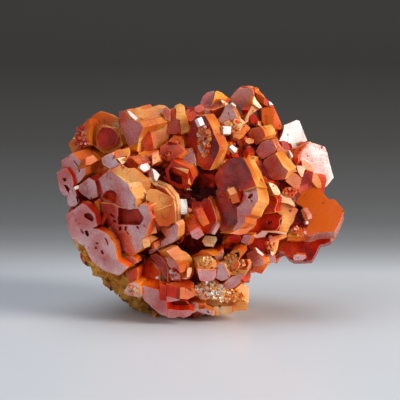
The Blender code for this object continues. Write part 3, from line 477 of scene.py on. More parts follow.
        (10.8, 15.6), (13.1, 15.6), (14, 15.5), (15.2, 15.2), (15, 14.9), (13.3, 15.2), (11.9, 15.3),
        (11.3, 14.5), (9.8, 14.3), (9.1, 14.7), (10.1, 15))),
    ("deep", "fire", (0, 10), (17.1, 17.5, -5.2), 2, (
        (16.6, 18.7), (17.3, 19.2), (18.2, 17.8), (18.9, 16.4), (17.5, 15.8), (15.9, 15.8), (16.4, 17.3))),
    ("tan", "rose", (-30, 0), (18.2, 18.4, -6), 1.5, (
        (17.6, 19.3), (18, 19.5), (18.8, 18.3), (18.9, 17.6), (18.3, 17.3))),
    ("white", "rose", (24, 14), (18.7, 17.1, -5.8), 0.8, (
        (18.4, 17.3), (19, 17.4), (19, 16.8), (18.5, 16.7))),
    ("amber", "fire", (0, 30), (17.1, 15.4, -5.6), 2.5, (
        (15.7, 15.9), (17.5, 16.1), (18.7, 16), (19.2, 14.9), (17.5, 14.6), (15.3, 14.7))),
    # Below them
    ("deep", "fire", (0, 10), (10.1, 13.3, -7.8), 3, (
        (8.8, 14.3), (9.8, 14.3), (11.5, 14.5), (12.1, 14.3), (11.9, 12.2), (10.8, 11.9), (9.6, 12.6),
        (8.8, 12.2), (8.5, 13.1))),
    ("amber", "tan", (14, 20), (13.5, 13.6, -6.6), 2, (
        (12.2, 14.5), (13.8, 14.9), (15.3, 15), (15.3, 14.6), (13.9, 14.1), (13.5, 12.2), (13.1, 11.5),
        (12.4, 11.9), (12.4, 13.5))),
    ("mauve", "amber", (-26, -2), (9.5, 10.8, -8.8), 3, (
        (8, 11.6), (8.8, 12.1), (9.6, 12.1), (10.3, 11.5), (11, 10.7), (11.2, 10), (10.8, 9.5),
        (9.4, 9.4), (8.8, 9.8), (8.3, 10.8))),
    ("white", "pale", (29, 17), (10.4, 12, -9.2), 1, (
        (9.6, 12.8), (10, 12.6), (11.2, 11.5), (11, 11.1), (10.1, 11.8))),
    ("mauve", "fire", (0, 0), (12.1, 10.8, -7.4), 2.5, (
        (11.2, 11.4), (12.2, 11.6), (13.1, 11.4), (13.3, 10.1), (12.2, 9.9), (11.2, 9.9))),
    ("fire", "fire", (-10, -16), (10.3, 8.9, -7.6), 3, (
        (12, 9.7), (10.8, 8), (8.8, 8.6), (9.4, 9.4))),
    # The two large plates right of the middle, and the small crystals on them
    ("deep", "tan", (-36, 12), (6.1, 24.8, -11.2), 3.4, (
        (2.5, 24.8), (2.8, 25.7), (3.5, 26.8), (5, 28.2), (7, 28.5), (7.6, 28.3), (8.1, 27.4),
        (8.8, 26.1), (9.4, 24.5), (9.9, 23.4), (8.8, 23.1), (7.5, 22.6), (6.6, 22.9), (6.1, 23.4),
        (4.9, 23.1), (4.5, 22.4), (3.3, 22.2), (3, 23.3))),
    ("mauve", "tan", (-36, 14), (8, 21, -12.3), 3.4, (
        (7.5, 22.8), (8.4, 23.1), (9.6, 23.7), (10, 22.8), (10.2, 21.5), (10.1, 20.8), (9.4, 19.8),
        (8.8, 18.5), (8, 18.1), (7.9, 17.1), (7.2, 16.3), (6.3, 15.7), (5.2, 15.1), (5.8, 15.9),
        (6.6, 17.1), (6.5, 18.5), (6.4, 19.6), (7, 20.2), (7.3, 20.8), (7.6, 21.9)),
     (0.5, ((8.3, 21.5), (8.7, 22), (9.2, 22.2), (9.3, 21.7), (8.8, 21.2), (8.5, 21.2))),
     (0.4, ((8.7, 21.1), (9.1, 21), (9.3, 20.6), (9, 20.7)))),
    ("deep", "fire", (-22, -6), (4.9, 18.9, -9.8), 2.6, (
        (2.8, 22.8), (3.3, 22.2), (4.5, 22.4), (5.1, 21.9), (5.4, 20.2), (6.5, 19.9), (6.6, 18.5),
        (6.8, 17.1), (6.3, 15.9), (5.1, 15.2), (3.8, 15.3), (3.3, 16.1), (3, 18.4))),
    ("tan", "tan", (10, -24), (6.1, 21.2, -12.6), 2.6, (
        (5.2, 21.9), (6.4, 22.2), (7, 20.7), (5.6, 20.3))),
    ("pale", "tan", (10, 50), (5.6, 22.8, -12.4), 1.2, (
        (4.7, 22.9), (6, 23.4), (6.5, 22.3), (5.2, 21.9))),
    ("deep", "deep", (40, 0), (6.8, 22.2, -11.8), 1.2, (
        (6.2, 23.2), (6.7, 22.8), (7.7, 22), (7.3, 20.5), (7.1, 20.7), (6.6, 22))),
    ("mauve", "tan", (-16, 0), (8, 14, -10.4), 4, (
        (7.1, 13.6), (7.6, 14.9), (9.1, 14.8), (8.5, 13.1))),
    ("tan", "tan", (34, 4), (8.6, 16.6, -11.4), 3, (
        (8, 18.1), (8.8, 18.5), (9.6, 18.4), (10.1, 18.4), (9.8, 17.4), (9.4, 16.4), (8.1, 15.1),
        (7, 14.9), (5.2, 15.1), (6.3, 15.7), (7.2, 16.2), (7.9, 17.1))),
    ("fire", "fire", (-6, -30), (5.9, 14.2, -10), 2, (
        (4.7, 14.3), (5.4, 14.8), (6.6, 14.9), (7.2, 14.3), (6.8, 13.6), (5.4, 13.4), (4.7, 13.8))),
    # Open middle
    ("fire", "tan", (-26, 0), (1.2, 18.5, -10.2), 2.6, (
        (-1.7, 20.5), (-1, 21), (0.3, 21.6), (1.4, 21.6), (1.9, 21), (2.5, 19.4), (3, 17.7), (2.9, 16.8),
        (1.9, 15), (0.9, 15), (-0.3, 16.3), (-1.2, 18.4))),
    ("amber", "fire", (10, 0), (0.3, 18.2, -12), 1.2, (
        (-0.8, 19.2), (0.3, 19.8), (1.7, 16.9), (0.6, 16.4), (0, 17.1))),
    ("rose", "rose", (20, -14), (2.6, 15.9, -11.4), 1.5, (
        (3, 16.9), (3.6, 16.7), (2.9, 15.4), (2.6, 14.9), (2, 15), (2.4, 15.9))),
    ("mauve", "fire", (16, -26), (-0.4, 15.1, -11.8), 5, (
        (-1.8, 15.4), (-0.3, 16.3), (0.8, 14.9), (-0.5, 14), (-1.4, 14.4))),
    ("pale", "tan", (0, 10), (1.6, 13.8, -9.8), 4, (
        (0.3, 13.8), (0.9, 14.8), (2.9, 14.6), (3, 14), (2.3, 12.8), (0.9, 12.9))),
    # Below the middle
    ("mauve", "tan", (-48, -8), (-5.4, 10.7, -11), 3, (
        (-7, 11.9), (-5.9, 12), (-4.4, 10.4), (-3.7, 9.4), (-3.5, 8.2), (-4.2, 9), (-5.2, 9.1),
        (-6.1, 10.1), (-7, 11.2))),
    ("tan", "tan", (30, 6), (-2.8, 9.8, -11.2), 3, (
        (-6, 12.1), (-4.9, 12.7), (-3.9, 13.1), (-3.4, 12.3), (-2.5, 12), (-1.8, 11.4), (-1.3, 10.7),
        (-0.9, 9.3), (-1, 8), (-1.7, 7.2), (-2.4, 7), (-3.1, 7.1), (-3.2, 8.2), (-3.5, 9.1), (-4.4, 10.4))),
    ("pale", "pale", (27, 14), (-1.8, 8.5, -11.9), 0.5, (
        (-2.2, 9), (-1.8, 9.3), (-1.4, 9.1), (-1.4, 8.4), (-1.8, 7.6), (-2.3, 7.4), (-2.3, 8.4))),
    ("tan", "tan", (16, -2), (1.2, 10, -11.6), 5, (
        (-0.5, 10.3), (0.3, 10.8), (1.5, 11.2), (2.1, 10.9), (2.8, 10.4), (2.9, 9.4), (2.4, 8.8),
        (-0.3, 8.9)),
     (0.8, ((1.6, 8.9), (2, 9.3), (2.3, 9.2), (2.1, 8.8)))),
    ("mauve", "amber", (14, -18), (1, 7.9, -11.7), 4, (
        (-0.5, 8.9), (2.4, 8.8), (2.8, 8.8), (2.8, 7.5), (2.3, 6.9), (0.9, 6.7), (0, 6.9), (-0.2, 7.5))),
    ("mauve", "tan", (-16, -6), (3.8, 8.4, -11.1), 4, (
        (2.8, 9.7), (3.5, 10), (4.3, 9.8), (4.6, 9.1), (5.2, 8), (4.9, 7.2), (3.8, 6.8), (2.8, 7.3))),
    ("fire", "amber", (0, 50), (3.5, 10, -10.8), 2, (
        (2.8, 10.1), (3.1, 10.3), (3.8, 10.2), (4.3, 9.8), (2.8, 9.6))),
    ("tan", "tan", (-24, -20), (5.2, 10.7, -10.4), 3, (
        (4, 10), (4.5, 10.8), (5.2, 11.7), (5.9, 12.2), (6.6, 12.3), (7.1, 12.1), (7.1, 10.8),
        (6.3, 10.3), (5.4, 9.4), (5.2, 8.6), (4.6, 9.1)),
     (0.6, ((6.1, 11.7), (6.8, 11.9), (6.9, 11.1), (6.5, 10.8), (6.1, 11.2)))),
    ("fire", "pale", (-30, 0), (6.3, 9.7, -11.4), 0.9, (
        (5.6, 10), (6, 10.4), (6.6, 10.5), (7, 9.8), (6.6, 9), (5.9, 9), (5.6, 9.4))),
    ("fire", "pale", (-30, 0), (7.9, 9.8, -10.8), 0.9, (
        (7.3, 10.1), (7.5, 10.5), (8.3, 10.6), (8.6, 9.9), (8.2, 8.9), (7.3, 8.9), (7.2, 9.4))),
    ("tan", "amber", (-10, -4), (6.5, 8.4, -10.2), 3, (
        (4.5, 9.1), (5.8, 9), (7.2, 8.8), (8.4, 8.7), (8.2, 8.2), (7.7, 7.7), (6.3, 7.8), (5.2, 7.9))),
    ("mauve", "fire", (0, -16), (3.3, 11.1, -9.8), 3, (
        (2.5, 11), (2.8, 11.7), (3.8, 12.2), (4.2, 11.9), (3.9, 10.6), (3, 10.2))),
    ("mauve", "fire", (-10, -24), (5.9, 6.8, -9.6), 3, (
        (5.1, 7.2), (5.6, 7.6), (7, 8), (8, 8.2), (7.3, 7.4), (7, 6.5), (6.3, 5.8), (5.2, 5.4),
        (3.8, 5.6), (4.2, 6.5))),
    ("fire", "amber", (-40, 0), (-0.2, 11.2, -10), 3, (
        (-1.4, 10.7), (-0.7, 11.5), (0.2, 12.2), (1.4, 11.9), (2.4, 11.2), (1.4, 11.3), (0, 10.7),
        (-0.5, 10.2), (-0.6, 8.4), (-0.9, 8.4), (-0.9, 10))),
    # Foot, from left to right
    ("mauve", "fire", (-24, -10), (-11.9, 5.2, -10.4), 4, (
        (-13.4, 4.8), (-12.9, 5.8), (-12.6, 6.3), (-11.7, 6.6), (-10.8, 6.3), (-10.3, 5.6), (-10.2, 4.2),
        (-10.5, 3.8), (-11, 4), (-12.9, 4.3))),
    ("deep", "fire", (-20, -10), (-12.1, 7.7, -9.2), 3, (
        (-13.1, 8.1), (-12.1, 8.7), (-11, 9.1), (-10.8, 8.4), (-11, 6.8), (-12.1, 6.5), (-12.7, 7.2))),
    ("deep", "fire", (-34, 4), (-9.1, 8.8, -8), 4, (
        (-10.8, 9.4), (-9.4, 10.1), (-8.4, 10.4), (-7.5, 9.4), (-7, 8.4), (-7, 6.3), (-8.4, 6.1),
        (-10.3, 6.5), (-10.8, 7.9))),
    ("rose", "fire", (30, 10), (-7, 8.8, -9), 0.8, (
        (-7.9, 9.7), (-7.5, 9.7), (-6.6, 8.8), (-6.1, 7.5), (-6.2, 6.5), (-6.7, 7.5), (-7, 8.4))),
    ("white", "white", (29, 17), (-7.4, 7.4, -9.6), 0.4, (
        (-7.7, 7.6), (-7.2, 7.7), (-7.2, 7.2), (-7.6, 7.2))),
    ("deep", "fire", (-30, -4), (-7.3, 10.5, -9.8), 3, (
        (-8.8, 11.2), (-7.9, 11.6), (-7, 11.2), (-6.1, 10.1), (-5.6, 9.1), (-5.6, 6.5), (-6.5, 7.9),
        (-7.3, 9.4))),
    ("fire", "fire", (-30, -10), (-4.9, 8.4, -10.4), 3, (
        (-6.1, 9.1), (-5.2, 9), (-4.2, 8.9), (-3.6, 8.2), (-3.1, 7), (-3.5, 6.8), (-5.2, 6.8), (-5.8, 7.9))),
    ("mauve", "mauve", (-30, -6), (-4.4, 7.6, -11.2), 1.2, (
        (-5.2, 8.2), (-4.2, 8.5), (-3.5, 7.9), (-3.5, 7.1), (-4.9, 7))),
    ("mauve", "fire", (-26, -16), (-8.4, 4, -11), 5, (
        (-10.3, 6.1), (-8.8, 5.7), (-7.2, 5.2), (-7, 3.5), (-6, 3.3), (-5.8, 2.8), (-5.8, 0.6), (-7, 1),
        (-7.7, 1.6), (-8.6, 2.3), (-8.8, 2.6), (-9.8, 3.5), (-10.3, 4.9))),
    ("deep", "deep", (0, 60), (-8.6, 5.9, -10.6), 2, (
        (-10.3, 6.1), (-10, 6.6), (-7.2, 5.8), (-7.2, 5.2), (-8.8, 5.6))),
    ("fire", "fire", (-6, -4), (-6.5, 4.9, -11.8), 3, (
        (-7.1, 6.3), (-5.9, 6), (-5.9, 3.3), (-7, 3.5))),
    ("fire", "amber", (10, 0), (-4.7, 5.1, -11.7), 3, (
        (-5.9, 6.4), (-3.5, 5.7), (-3.5, 3.7), (-5.8, 4.1))),
    ("tan", "tan", (30, 4), (-2.1, 4.7, -11.2), 3, (
        (-3.5, 5.7), (-2.4, 5.8), (-1.4, 5.6), (-0.5, 5.2), (-0.2, 4.7), (-1, 4.1), (-2.1, 3.6),
        (-3.5, 3.7))),
    ("mauve", "rose", (6, -16), (-4.9, 3.5, -11.7), 2, (
        (-5.9, 4.1), (-3.5, 3.6), (-3.8, 3.4), (-5.6, 3.1), (-5.9, 3.3))),
    ("amber", "amber", (0, 50), (-4, 6.1, -11), 2.5, (
        (-5.8, 6.3), (-4.9, 6.7), (-3.5, 6.8), (-2.4, 6.3), (-1.4, 5.9), (-1.4, 5.6), (-3.5, 5.7))),
    ("fire", "amber", (0, 40), (-2.4, 6.6, -10.2), 3, (
        (-3.8, 6.6), (-3, 7), (-1.8, 7.1), (-1, 6.5), (-1.2, 5.8), (-2.4, 5.9), (-3.5, 6))),
    ("pit", "fire", (0, -30), (-3.8, 2.6, -9.8), 2, (
        (-5.7, 3.1), (-3.8, 3.4), (-2.4, 3.3), (-1.9, 2.8), (-2, 1.8), (-3.5, 1.8), (-5.7, 2.1))),
    ("mauve", "fire", (-2, -20), (-3.5, 1.2, -11.2), 3, (
        (-5.8, 2), (-3.5, 1.7), (-1.8, 1.8), (-1, 1.4), (-1.8, 0.7), (-2.8, 0.3), (-3.7, 0.6),
        (-4.5, 0.3), (-5.8, 0.4))),
    ("rose", "mauve", (-6, -4), (-1.2, 2.3, -9), 3, (
        (-1.9, 2.9), (-1, 3.2), (-0.3, 3), (-0.3, 1.7), (-1.1, 1.2), (-2.1, 1.7))),
    ("fire", "fire", (0, 40), (-0.7, 3.5, -8.6), 2, (
        (-1.9, 3.2), (-1.2, 3.9), (-0.2, 4.3), (0.9, 3.7), (1, 2.8), (-0.2, 2.8), (-1, 3.1))),
    ("mauve", "fire", (-20, -6), (1, 1.5, -8.6), 4, (
        (-0.3, 1.9), (0.7, 2), (2.4, 1.6), (2.4, 0.7), (0.7, 1.1), (-0.5, 1.5))),
    ("fire", "fire", (-10, 10), (1.4, 2.2, -8.6), 2, (
        (0.2, 2.8), (1, 2.8), (2.4, 2.2), (2.4, 1.6), (1, 1.9))),
    ("pale", "tan", (-4, -6), (4, 1.8, -8.4), 4, (
        (2.4, 2.4), (5.6, 2.5), (5.6, 1.1), (3.7, 0.8), (2.6, 0.7))),
    ("tan", "tan", (0, 10), (3.8, 3.5, -8), 4, (
        (1, 4), (2.6, 4.3), (4.5, 4.2), (5.8, 4.1), (6.5, 3.5), (6.3, 2.6), (5.6, 2.5), (2.4, 2.4),
        (0.9, 3))),
    ("tan", "fire", (10, -6), (7, 2.4, -7.6), 4, (
        (5.6, 3), (6.6, 3.3), (7.9, 3.2), (8.3, 2.9), (8.3, 1.7), (6.8, 1.6), (5.6, 1.5))),
    ("amber", "amber", (20, 10), (7.7, 4.7, -7.2), 4, (
        (6.5, 5.7), (7.2, 6.3), (7.7, 6.1), (8.5, 5.9), (8.5, 3.1), (8.3, 2.9), (7.9, 3.2), (7, 4.1),
        (5.8, 5.1))),
    ("pale", "tan", (20, 30), (5.4, 4.6, -8.4), 1.5, (
        (4.5, 5), (5.1, 5), (7, 4), (6.6, 3.8), (5.6, 4.1))),
    ("amber", "tan", (5, 70), (3.7, 4.4, -6.8), 2.6, (
        (1.2, 4), (1.6, 4.6), (3.5, 5.1), (4.7, 5.3), (6.3, 5.7), (6.5, 5.1), (5.6, 4.6), (4.7, 4.3),
        (2.6, 4.2))),
)

# Crystals over the sides, the top and the back of the crust, in rings round its middle: how
# high the ring looks, the turn of its first and last crystal, how many, and their size.
RINGS = (
    (-42, 84, 116, 3, 1.7),
    (-20, 92, 128, 3, 2.3),
    (4, 84, 138, 5, 2.9),
    (28, 84, 150, 5, 2.6),
    (50, 100, 262, 7, 2.4),
    (-42, 246, 276, 3, 1.7),
    (-20, 236, 264, 3, 2.2),
    (4, 222, 278, 5, 2.8),
    (28, 210, 276, 5, 2.6),
    (72, 70, 290, 5, 2.2),
    (58, -50, 50, 4, 1.7),
)
RING_LOOKS = (("mauve", "tan"), ("deep", "amber"), ("fire", "tan"), ("mauve", "fire"), ("deep", "fire"))
RING_SEED = 5
RING_LENGTH = 6.0
RING_SHIFT = 0.3  # largest shift along the ring, as a share of the spacing
RING_LIFT = 6  # largest change of the angle at which a crystal stands, in degrees
RING_REACH = (1.0, 1.1)  # where its front stands, as a share of the crust's radii
RING_TURN = 28  # largest turn and lift of the crystal away from the crust's own direction
RING_TILT = 22
RING_SIDES = (0.85, 1.2)
RING_SIZE = (0.8, 1.15)

# Groups of crystals on the bare rock at the back. Each crystal: where it stands on the main
# lump (turn, lift), which way it faces, its roll, the distance to its sides, its height.
BACK_GROUPS = {
    "back_crystals_left": (
        ((196, 20), (190, 30), 10, 2.6, 2.4),
        ((208, 14), (222, 8), 25, 2.0, 2.2),
        ((200, 6), (196, -14), 40, 1.6, 1.8),
        ((187, 12), (172, 6), 5, 1.4, 1.6),
    ),
    "back_crystals_right": (
        ((160, -6), (152, -4), 20, 2.4, 2.2),
        ((150, 3), (140, 18), 12, 1.8, 2.0),
        ((170, -13), (178, -26), 33, 1.7, 1.9),
    ),
    "back_crystals_low": (
        ((222, -24), (228, -20), 15, 2.0, 2.0),
        ((211, -30), (204, -42), 8, 1.5, 1.7),
        ((232, -15), (246, -8), 30, 1.5, 1.8),
    ),
}
BACK_SUNK = 2.2  # how deep these crystals sit in the rock

# Details of the large crystals. Those with limits are given for a crystal whose sides stand
# USUAL_SIZE from its axis, and grow with the crystal between the limits, which are shares.
CRYSTAL_SEED = 1
USUAL_SIZE = 2
LAYERS = (0.35, 1.3)  # thickness of the growth layers
LAYER_LIMITS = (0.6, 1.6)
LEDGES = (0, 0, 0, 0.03, 0.07)  # how far the edge of a layer may stand back
LEDGE_LIMITS = (0.5, 1.5)
PLATE_LAYER_SIZE = 1.5  # layers of the outlined crystals are no thicker than on this size
EDGE_WIDTH = 0.075  # width of the bevels
EDGE_LIMITS = (0.6, 1.8)
EDGE_ANGLE = 0.6  # edges blunter than this, in radians, stay as they are
EDGE_LENGTH = 5  # and so do edges shorter than this many widths
LAST_LAYER_FOOT = 0.2  # how deep the last layer starts in the face that it lies on
TERRACE_SIZE = 1.2  # smallest six-sided crystal with a last layer
TERRACE_SIDES = (0.35, 0.93)
TERRACE_HEIGHT = (0.05, 0.14)
CORNER_SIZE = 1.3  # smallest outlined crystal with a last layer
CORNER_COUNT = 8  # and the most corners that its outline may have
CORNER_START = 0.8  # where that layer starts, as a share of the way to a corner
CORNER_REACH = 0.9  # how near to the corners it could get
CORNER_SHARE = (0.45, 0.75)  # how much of the way there it has grown
CORNER_HEIGHT = (0.04, 0.1)
PIT_CLEARANCE = 0.6
PATTERN_SHIFT = 40  # largest shift of a crystal's growth pattern

# Small crystals over the crust: how many, and the smallest and largest distance to their sides.
DRUSE = ((900, 0.6, 1.2), (3500, 0.22, 0.5))
DRUSE_LOOKS = (("fire", "amber"), ("pit", "fire"), ("fire", "fire"), ("amber", "tan"), ("pit", "pit"))
DRUSE_SEED = 3
DRUSE_SHARES = (7, 2, 1.5)  # how many stand on each part of the crust
DRUSE_LIFT = (-80, 85)
DRUSE_LEAN = 0.9
DRUSE_HEIGHT = (0.5, 1.8)  # as a share of the distance to the sides
DRUSE_ROOT = 1.6
DRUSE_ROOM = 0.5  # room to the large six-sided crystals, as a share of the distance to the sides
DRUSE_PLATE_ROOM = 0.7  # and to the outlined ones
DRUSE_FRONT = 0.3  # where the crust looks further back than this, no outlined crystal is in the way
SMALL_SIDES = (0.8, 1.25)

# Openings between the large crystals, whose druse is painted near-black as painted shade: the middle
# (across, up) and the half width and half height.
HOLLOWS = (
    ((0.5, 24.2), (2.4, 3.8)),
    ((0.4, 12.9), (4.2, 1.0)),
)
HOLLOW_PAINTED_SHADE = ("dark", "dark")

# Patches of still smaller crystals on the large ones: the middle (across, up, back), which way
# the patch looks, its half width and half height, how many crystals, their smallest and largest
# size, and their looks.
PATCHES = (
    # On the dark face above the middle
    ((0.7, 31.3, -9.0), (-36, 0), (1.3, 2.6), 90, (0.14, 0.36), (
        ("pale", "tan"), ("fire", "amber"), ("rose", "fire"), ("amber", "pale"), ("fire", "fire"),
    )),
    # Upper left
    ((-20.8, 32.0, -1.8), (-30, 6), (1.5, 2.0), 60, (0.12, 0.3), (
        ("fire", "amber"), ("fire", "fire"), ("mauve", "fire"), ("amber", "fire"),
    )),
    # Foot: bright druse, whose white and pale looks are painted highlights, and the one on the small crystal
    # at its left
    ((1.6, 5.2, -9.9), (4, 30), (2.7, 1.5), 240, (0.12, 0.34), (
        ("pale", "tan"), ("tan", "pale"), ("white", "pale"), ("amber", "pale"), ("rose", "tan"),
    )),
    ((-11.9, 5.2, -10.5), (-24, -10), (1.1, 0.8), 50, (0.12, 0.3), (
        ("rose", "fire"), ("mauve", "fire"), ("pale", "fire"), ("fire", "fire"),
    )),
    # Top of the block at the right of the foot
    ((4.6, 4.2, -8.5), (0, 44), (3.1, 1.2), 150, (0.12, 0.34), (
        ("pale", "tan"), ("amber", "tan"), ("tan", "amber"), ("fire", "amber"),
    )),
    # Rough end faces below the middle
    ((1.2, 10.3, -11.9), (16, -2), (1.2, 0.9), 50, (0.06, 0.2), (
        ("tan", "amber"), ("amber", "tan"), ("pale", "tan"),
    )),
    # Lower right
    ((12.3, 13.0, -7.7), (0, 10), (0.7, 1.5), 40, (0.12, 0.34), (
        ("amber", "tan"), ("fire", "amber"), ("pale", "amber"),
    )),
    ((17.3, 15.6, -6.0), (0, 20), (1.2, 0.7), 40, (0.12, 0.32), (
        ("amber", "tan"), ("fire", "amber"), ("pale", "amber"), ("fire", "fire"),
    )),
    ((15.6, 22.4, -6.0), (10, 20), (1.1, 0.6), 26, (0.14, 0.4), (
        ("amber", "tan"), ("fire", "amber"), ("tan", "tan"),
    )),
    # Between the crystals below the middle
    ((5.9, 10.2, -10.8), (-24, -10), (1.9, 1.4), 90, (0.1, 0.3), (
        ("tan", "amber"), ("fire", "pale"), ("amber", "tan"), ("pale", "tan"),
    )),
    ((-4.7, 8.2, -10.9), (-30, -8), (0.9, 0.8), 22, (0.12, 0.34), (
        ("mauve", "fire"), ("fire", "fire"), ("rose", "fire"),
    )),
    # Open middle: crystals deep inside painted near-black as painted shade, and those above it
    ((0.6, 23.8, -3.6), (0, -10), (2.0, 3.2), 120, (0.3, 0.8), (
        ("dark", "dark"), ("dark", "dark"), ("pit", "dark"), ("deep", "dark"),
    )),
    ((-5.2, 28.6, -7.6), (-10, 10), (1.2, 0.9), 30, (0.14, 0.36), (
        ("fire", "amber"), ("amber", "tan"), ("deep", "fire"),
    )),
    ((5.4, 33.9, -6.6), (0, 20), (1.9, 0.9), 34, (0.2, 0.5), (
        ("pale", "tan"), ("amber", "tan"), ("fire", "amber"),
    )),
)
PATCH_SEED = 8
PATCH_LEAN = 0.8
PATCH_HEIGHT = (0.2, 1.4)  # as a share of the distance to the sides

# Patterns of the crystals: cells per metre, detail and roughness of the noise over a piece, and
# the ranges of it that are used.
CLOUDS = (300.0, 6.0, 0.62)
BROAD_CLOUDS = (120.0, 2.0, 0.5)
GRAIN = (2600.0, 3.0, 0.6)
GRAIN_RANGE = (0.3, 0.7)
ETCHED_PITS = (1150.0, 2.0, 0.5)
ETCHED_RANGE = (0.63, 0.67)
ETCHED_PLACES = (190.0, 3.0, 0.6)
PLACES_RANGE = (0.50, 0.58)
POLISH = (210.0, 3.0, 0.55)
POLISH_RANGE = (0.35, 0.65)
LUSTRE = (0.22, 0.75)  # of the dullest and the most polished parts
PIT_LUSTRE = 0.12  # share of it that is left in the etched pits
BAND_STRETCH = (0.16, 4.5, 1.0)  # growth bands: scale along and across them, on a side
BAND_NOISE = {"scale": 1.3, "detail": 7.0, "roughness": 0.65}
CLOUD_SHARE = 1.0  # weights of the clouds and of the crystal's own tone in its shade
BROAD_SHARE = 2.2
TONE_SHARE = 0.5
CLOUD_RELIEF = 6.0  # weights of the patterns in the relief of a face
BAND_RELIEF = 3.0
GRAIN_RELIEF = 0.15
PIT_RELIEF = -2.5
RELIEF = (0.5, 0.00005)  # strength, and height in metres
SHADE_STOPS = (0.25, 0.55, 0.85)  # shades of the shadow, body and bright colour
PIT_SHADE = 0.5  # colour of an etched pit, as a share of the shadow colour
ROUGHNESS_SPREAD = (0.7, 1.3)
GLOW_RADII = (1.0, 0.22, 0.05)
GLOW_DEPTH = 0.0012
END_FACE = 0.7  # faces that look further along the crystal than this are end faces

ROCK_PATCHES = (330.0, 8.0, 0.7)
ROCK_COLOURS = (
    (0.37, (0.07, 0.022, 0.005)), (0.44, (0.52, 0.17, 0.012)),
    (0.53, (0.78, 0.36, 0.036)), (0.66, (0.86, 0.58, 0.20)),
)
ROCK_GRIT = (1900.0, 6.0, 0.7)
ROCK_RELIEF = (1.0, 0.0004)
ROCK_ROUGHNESS = (0.7, 0.98)

# Floor and backdrop, in metres: half the width, where the floor bends up, the radius of the bend
# and its steps, and the top; then the painted shades, darker where less light reaches, from the
# front of the floor to the backdrop, each with its share of the depth range.
FLOOR_HALF = 1.6
FLOOR_BACK = 0.5
BEND_RADIUS = 0.3
BEND_STEPS = 12
BACKDROP_TOP = 1.4
FLOOR_DEPTHS = (-0.2, 0.6)
FLOOR_PAINTED_SHADES = (
    (0.300, (0.66, 0.69, 0.74)), (0.319, (0.48, 0.50, 0.53)), (0.335, (0.35, 0.36, 0.38)),
    (0.351, (0.26, 0.27, 0.28)), (0.38, (0.18, 0.185, 0.19)), (0.43, (0.145, 0.145, 0.147)),
    (0.575, (0.105, 0.10, 0.098)), (1.0, (0.11, 0.106, 0.10)),
)
FLOOR_ROUGHNESS = 0.35

# Lights, in metres and watts: the direction from the specimen, the distance, the width and
# height, the power and the colour.
LIGHTS = {
    "key": ((0.80, -0.45, 0.36), 0.55, (0.30, 0.30), 4.1, (1.0, 0.95, 0.88)),
    "overhead": ((-0.10, 0.20, 1.0), 0.5, (0.40, 0.40), 1.25, (0.92, 0.96, 1.0)),
    "left_card": ((-0.75, -0.50, 0.75), 0.6, (0.7, 0.6), 1.85, (0.90, 0.95, 1.0)),
}
LIT_POINT = Vector((0, 0, 0.02))
ROOM_COLOUR = (0.02, 0.02, 0.021, 1)


# Places and directions
def line_of_sight(across, up):
    """The line from the viewer's eye to this place of the front sheet."""
    return SHEET_MIDDLE + Vector((across, 0, 0)) + RISE * (up - SHEET_MIDDLE_UP) - EYE


def seen(across, up, back):
    """The point at the depth back that shows at this place of the front sheet."""
    ray = line_of_sight(across, up)
    return EYE + ray * ((back - EYE.y) / ray.y)


def sheet_place(point):
    """Where the point shows on the front sheet: across and up."""
    ray = point - EYE
    forward = (SHEET_MIDDLE - EYE).normalized()
    on_sheet = EYE + ray * (VIEW_DISTANCE / ray.dot(forward)) - SHEET_MIDDLE
    return on_sheet.x, on_sheet.dot(RISE) + SHEET_MIDDLE_UP


def looking(turn, lift):
    """The direction that is turned to the right of the viewer and lifted, in degrees."""
    turn, lift = radians(turn), radians(lift)
    return Vector((sin(turn) * cos(lift), -cos(turn) * cos(lift), sin(lift)))


def standing(middle, facing, roll):
    """The turn and place of a crystal whose front face is centred at middle."""
    out = looking(*facing)
    level = Vector((cos(radians(facing[0])), sin(radians(facing[0])), 0))
    turned = Matrix((level, out.cross(level), out)).transposed().to_4x4()
    return Matrix.Translation(middle) @ turned @ Matrix.Rotation(radians(roll), 4, "Z")


def leaning(direction, scatter):
    """The turn of a crystal that grows in this direction, with a roll of its own."""
    turn = direction.to_track_quat("Z", "Y").to_matrix().to_4x4()
    return turn @ Matrix.Rotation(scatter.uniform(0, pi), 4, "Z")


def rock_surface(lump, direction):
    """The point of a lump's surface in this direction from its middle."""
    middle, radii, (lean_right, lean_back) = lump
    swell = noise.noise(direction * ROCK_SWELL_SIZE + middle)
    ridge = 0.5 - 2 * abs(noise.noise(direction * ROCK_RIDGE_SIZE - middle))
    reach = Vector([r * d for r, d in zip(radii, direction)])
    reach *= 1 + ROCK_SWELL * swell + ROCK_RIDGES * ridge
    reach.x += lean_right * reach.z
    reach.y += lean_back * reach.z
    return middle + reach


def crust_surface(middle, radii, direction):
    """The point of this part of the crust in the direction from its middle."""
    swell = 1 + CRUST_LUMPS * noise.noise(direction * CRUST_LUMP_SIZE + Vector(middle))
    return Vector([m + r * d * swell for m, r, d in zip(middle, radii, direction)])


# Crystals as their place, distance to the sides, length, shares of the sides, and two finishes
def front_crystals():
    """The six-sided crystals at the front."""
    return [
        (standing(seen(*at), facing, roll), apothem, length, sides, face, side)
        for face, side, at, facing, roll, apothem, length, sides in FRONT_CRYSTALS
    ]


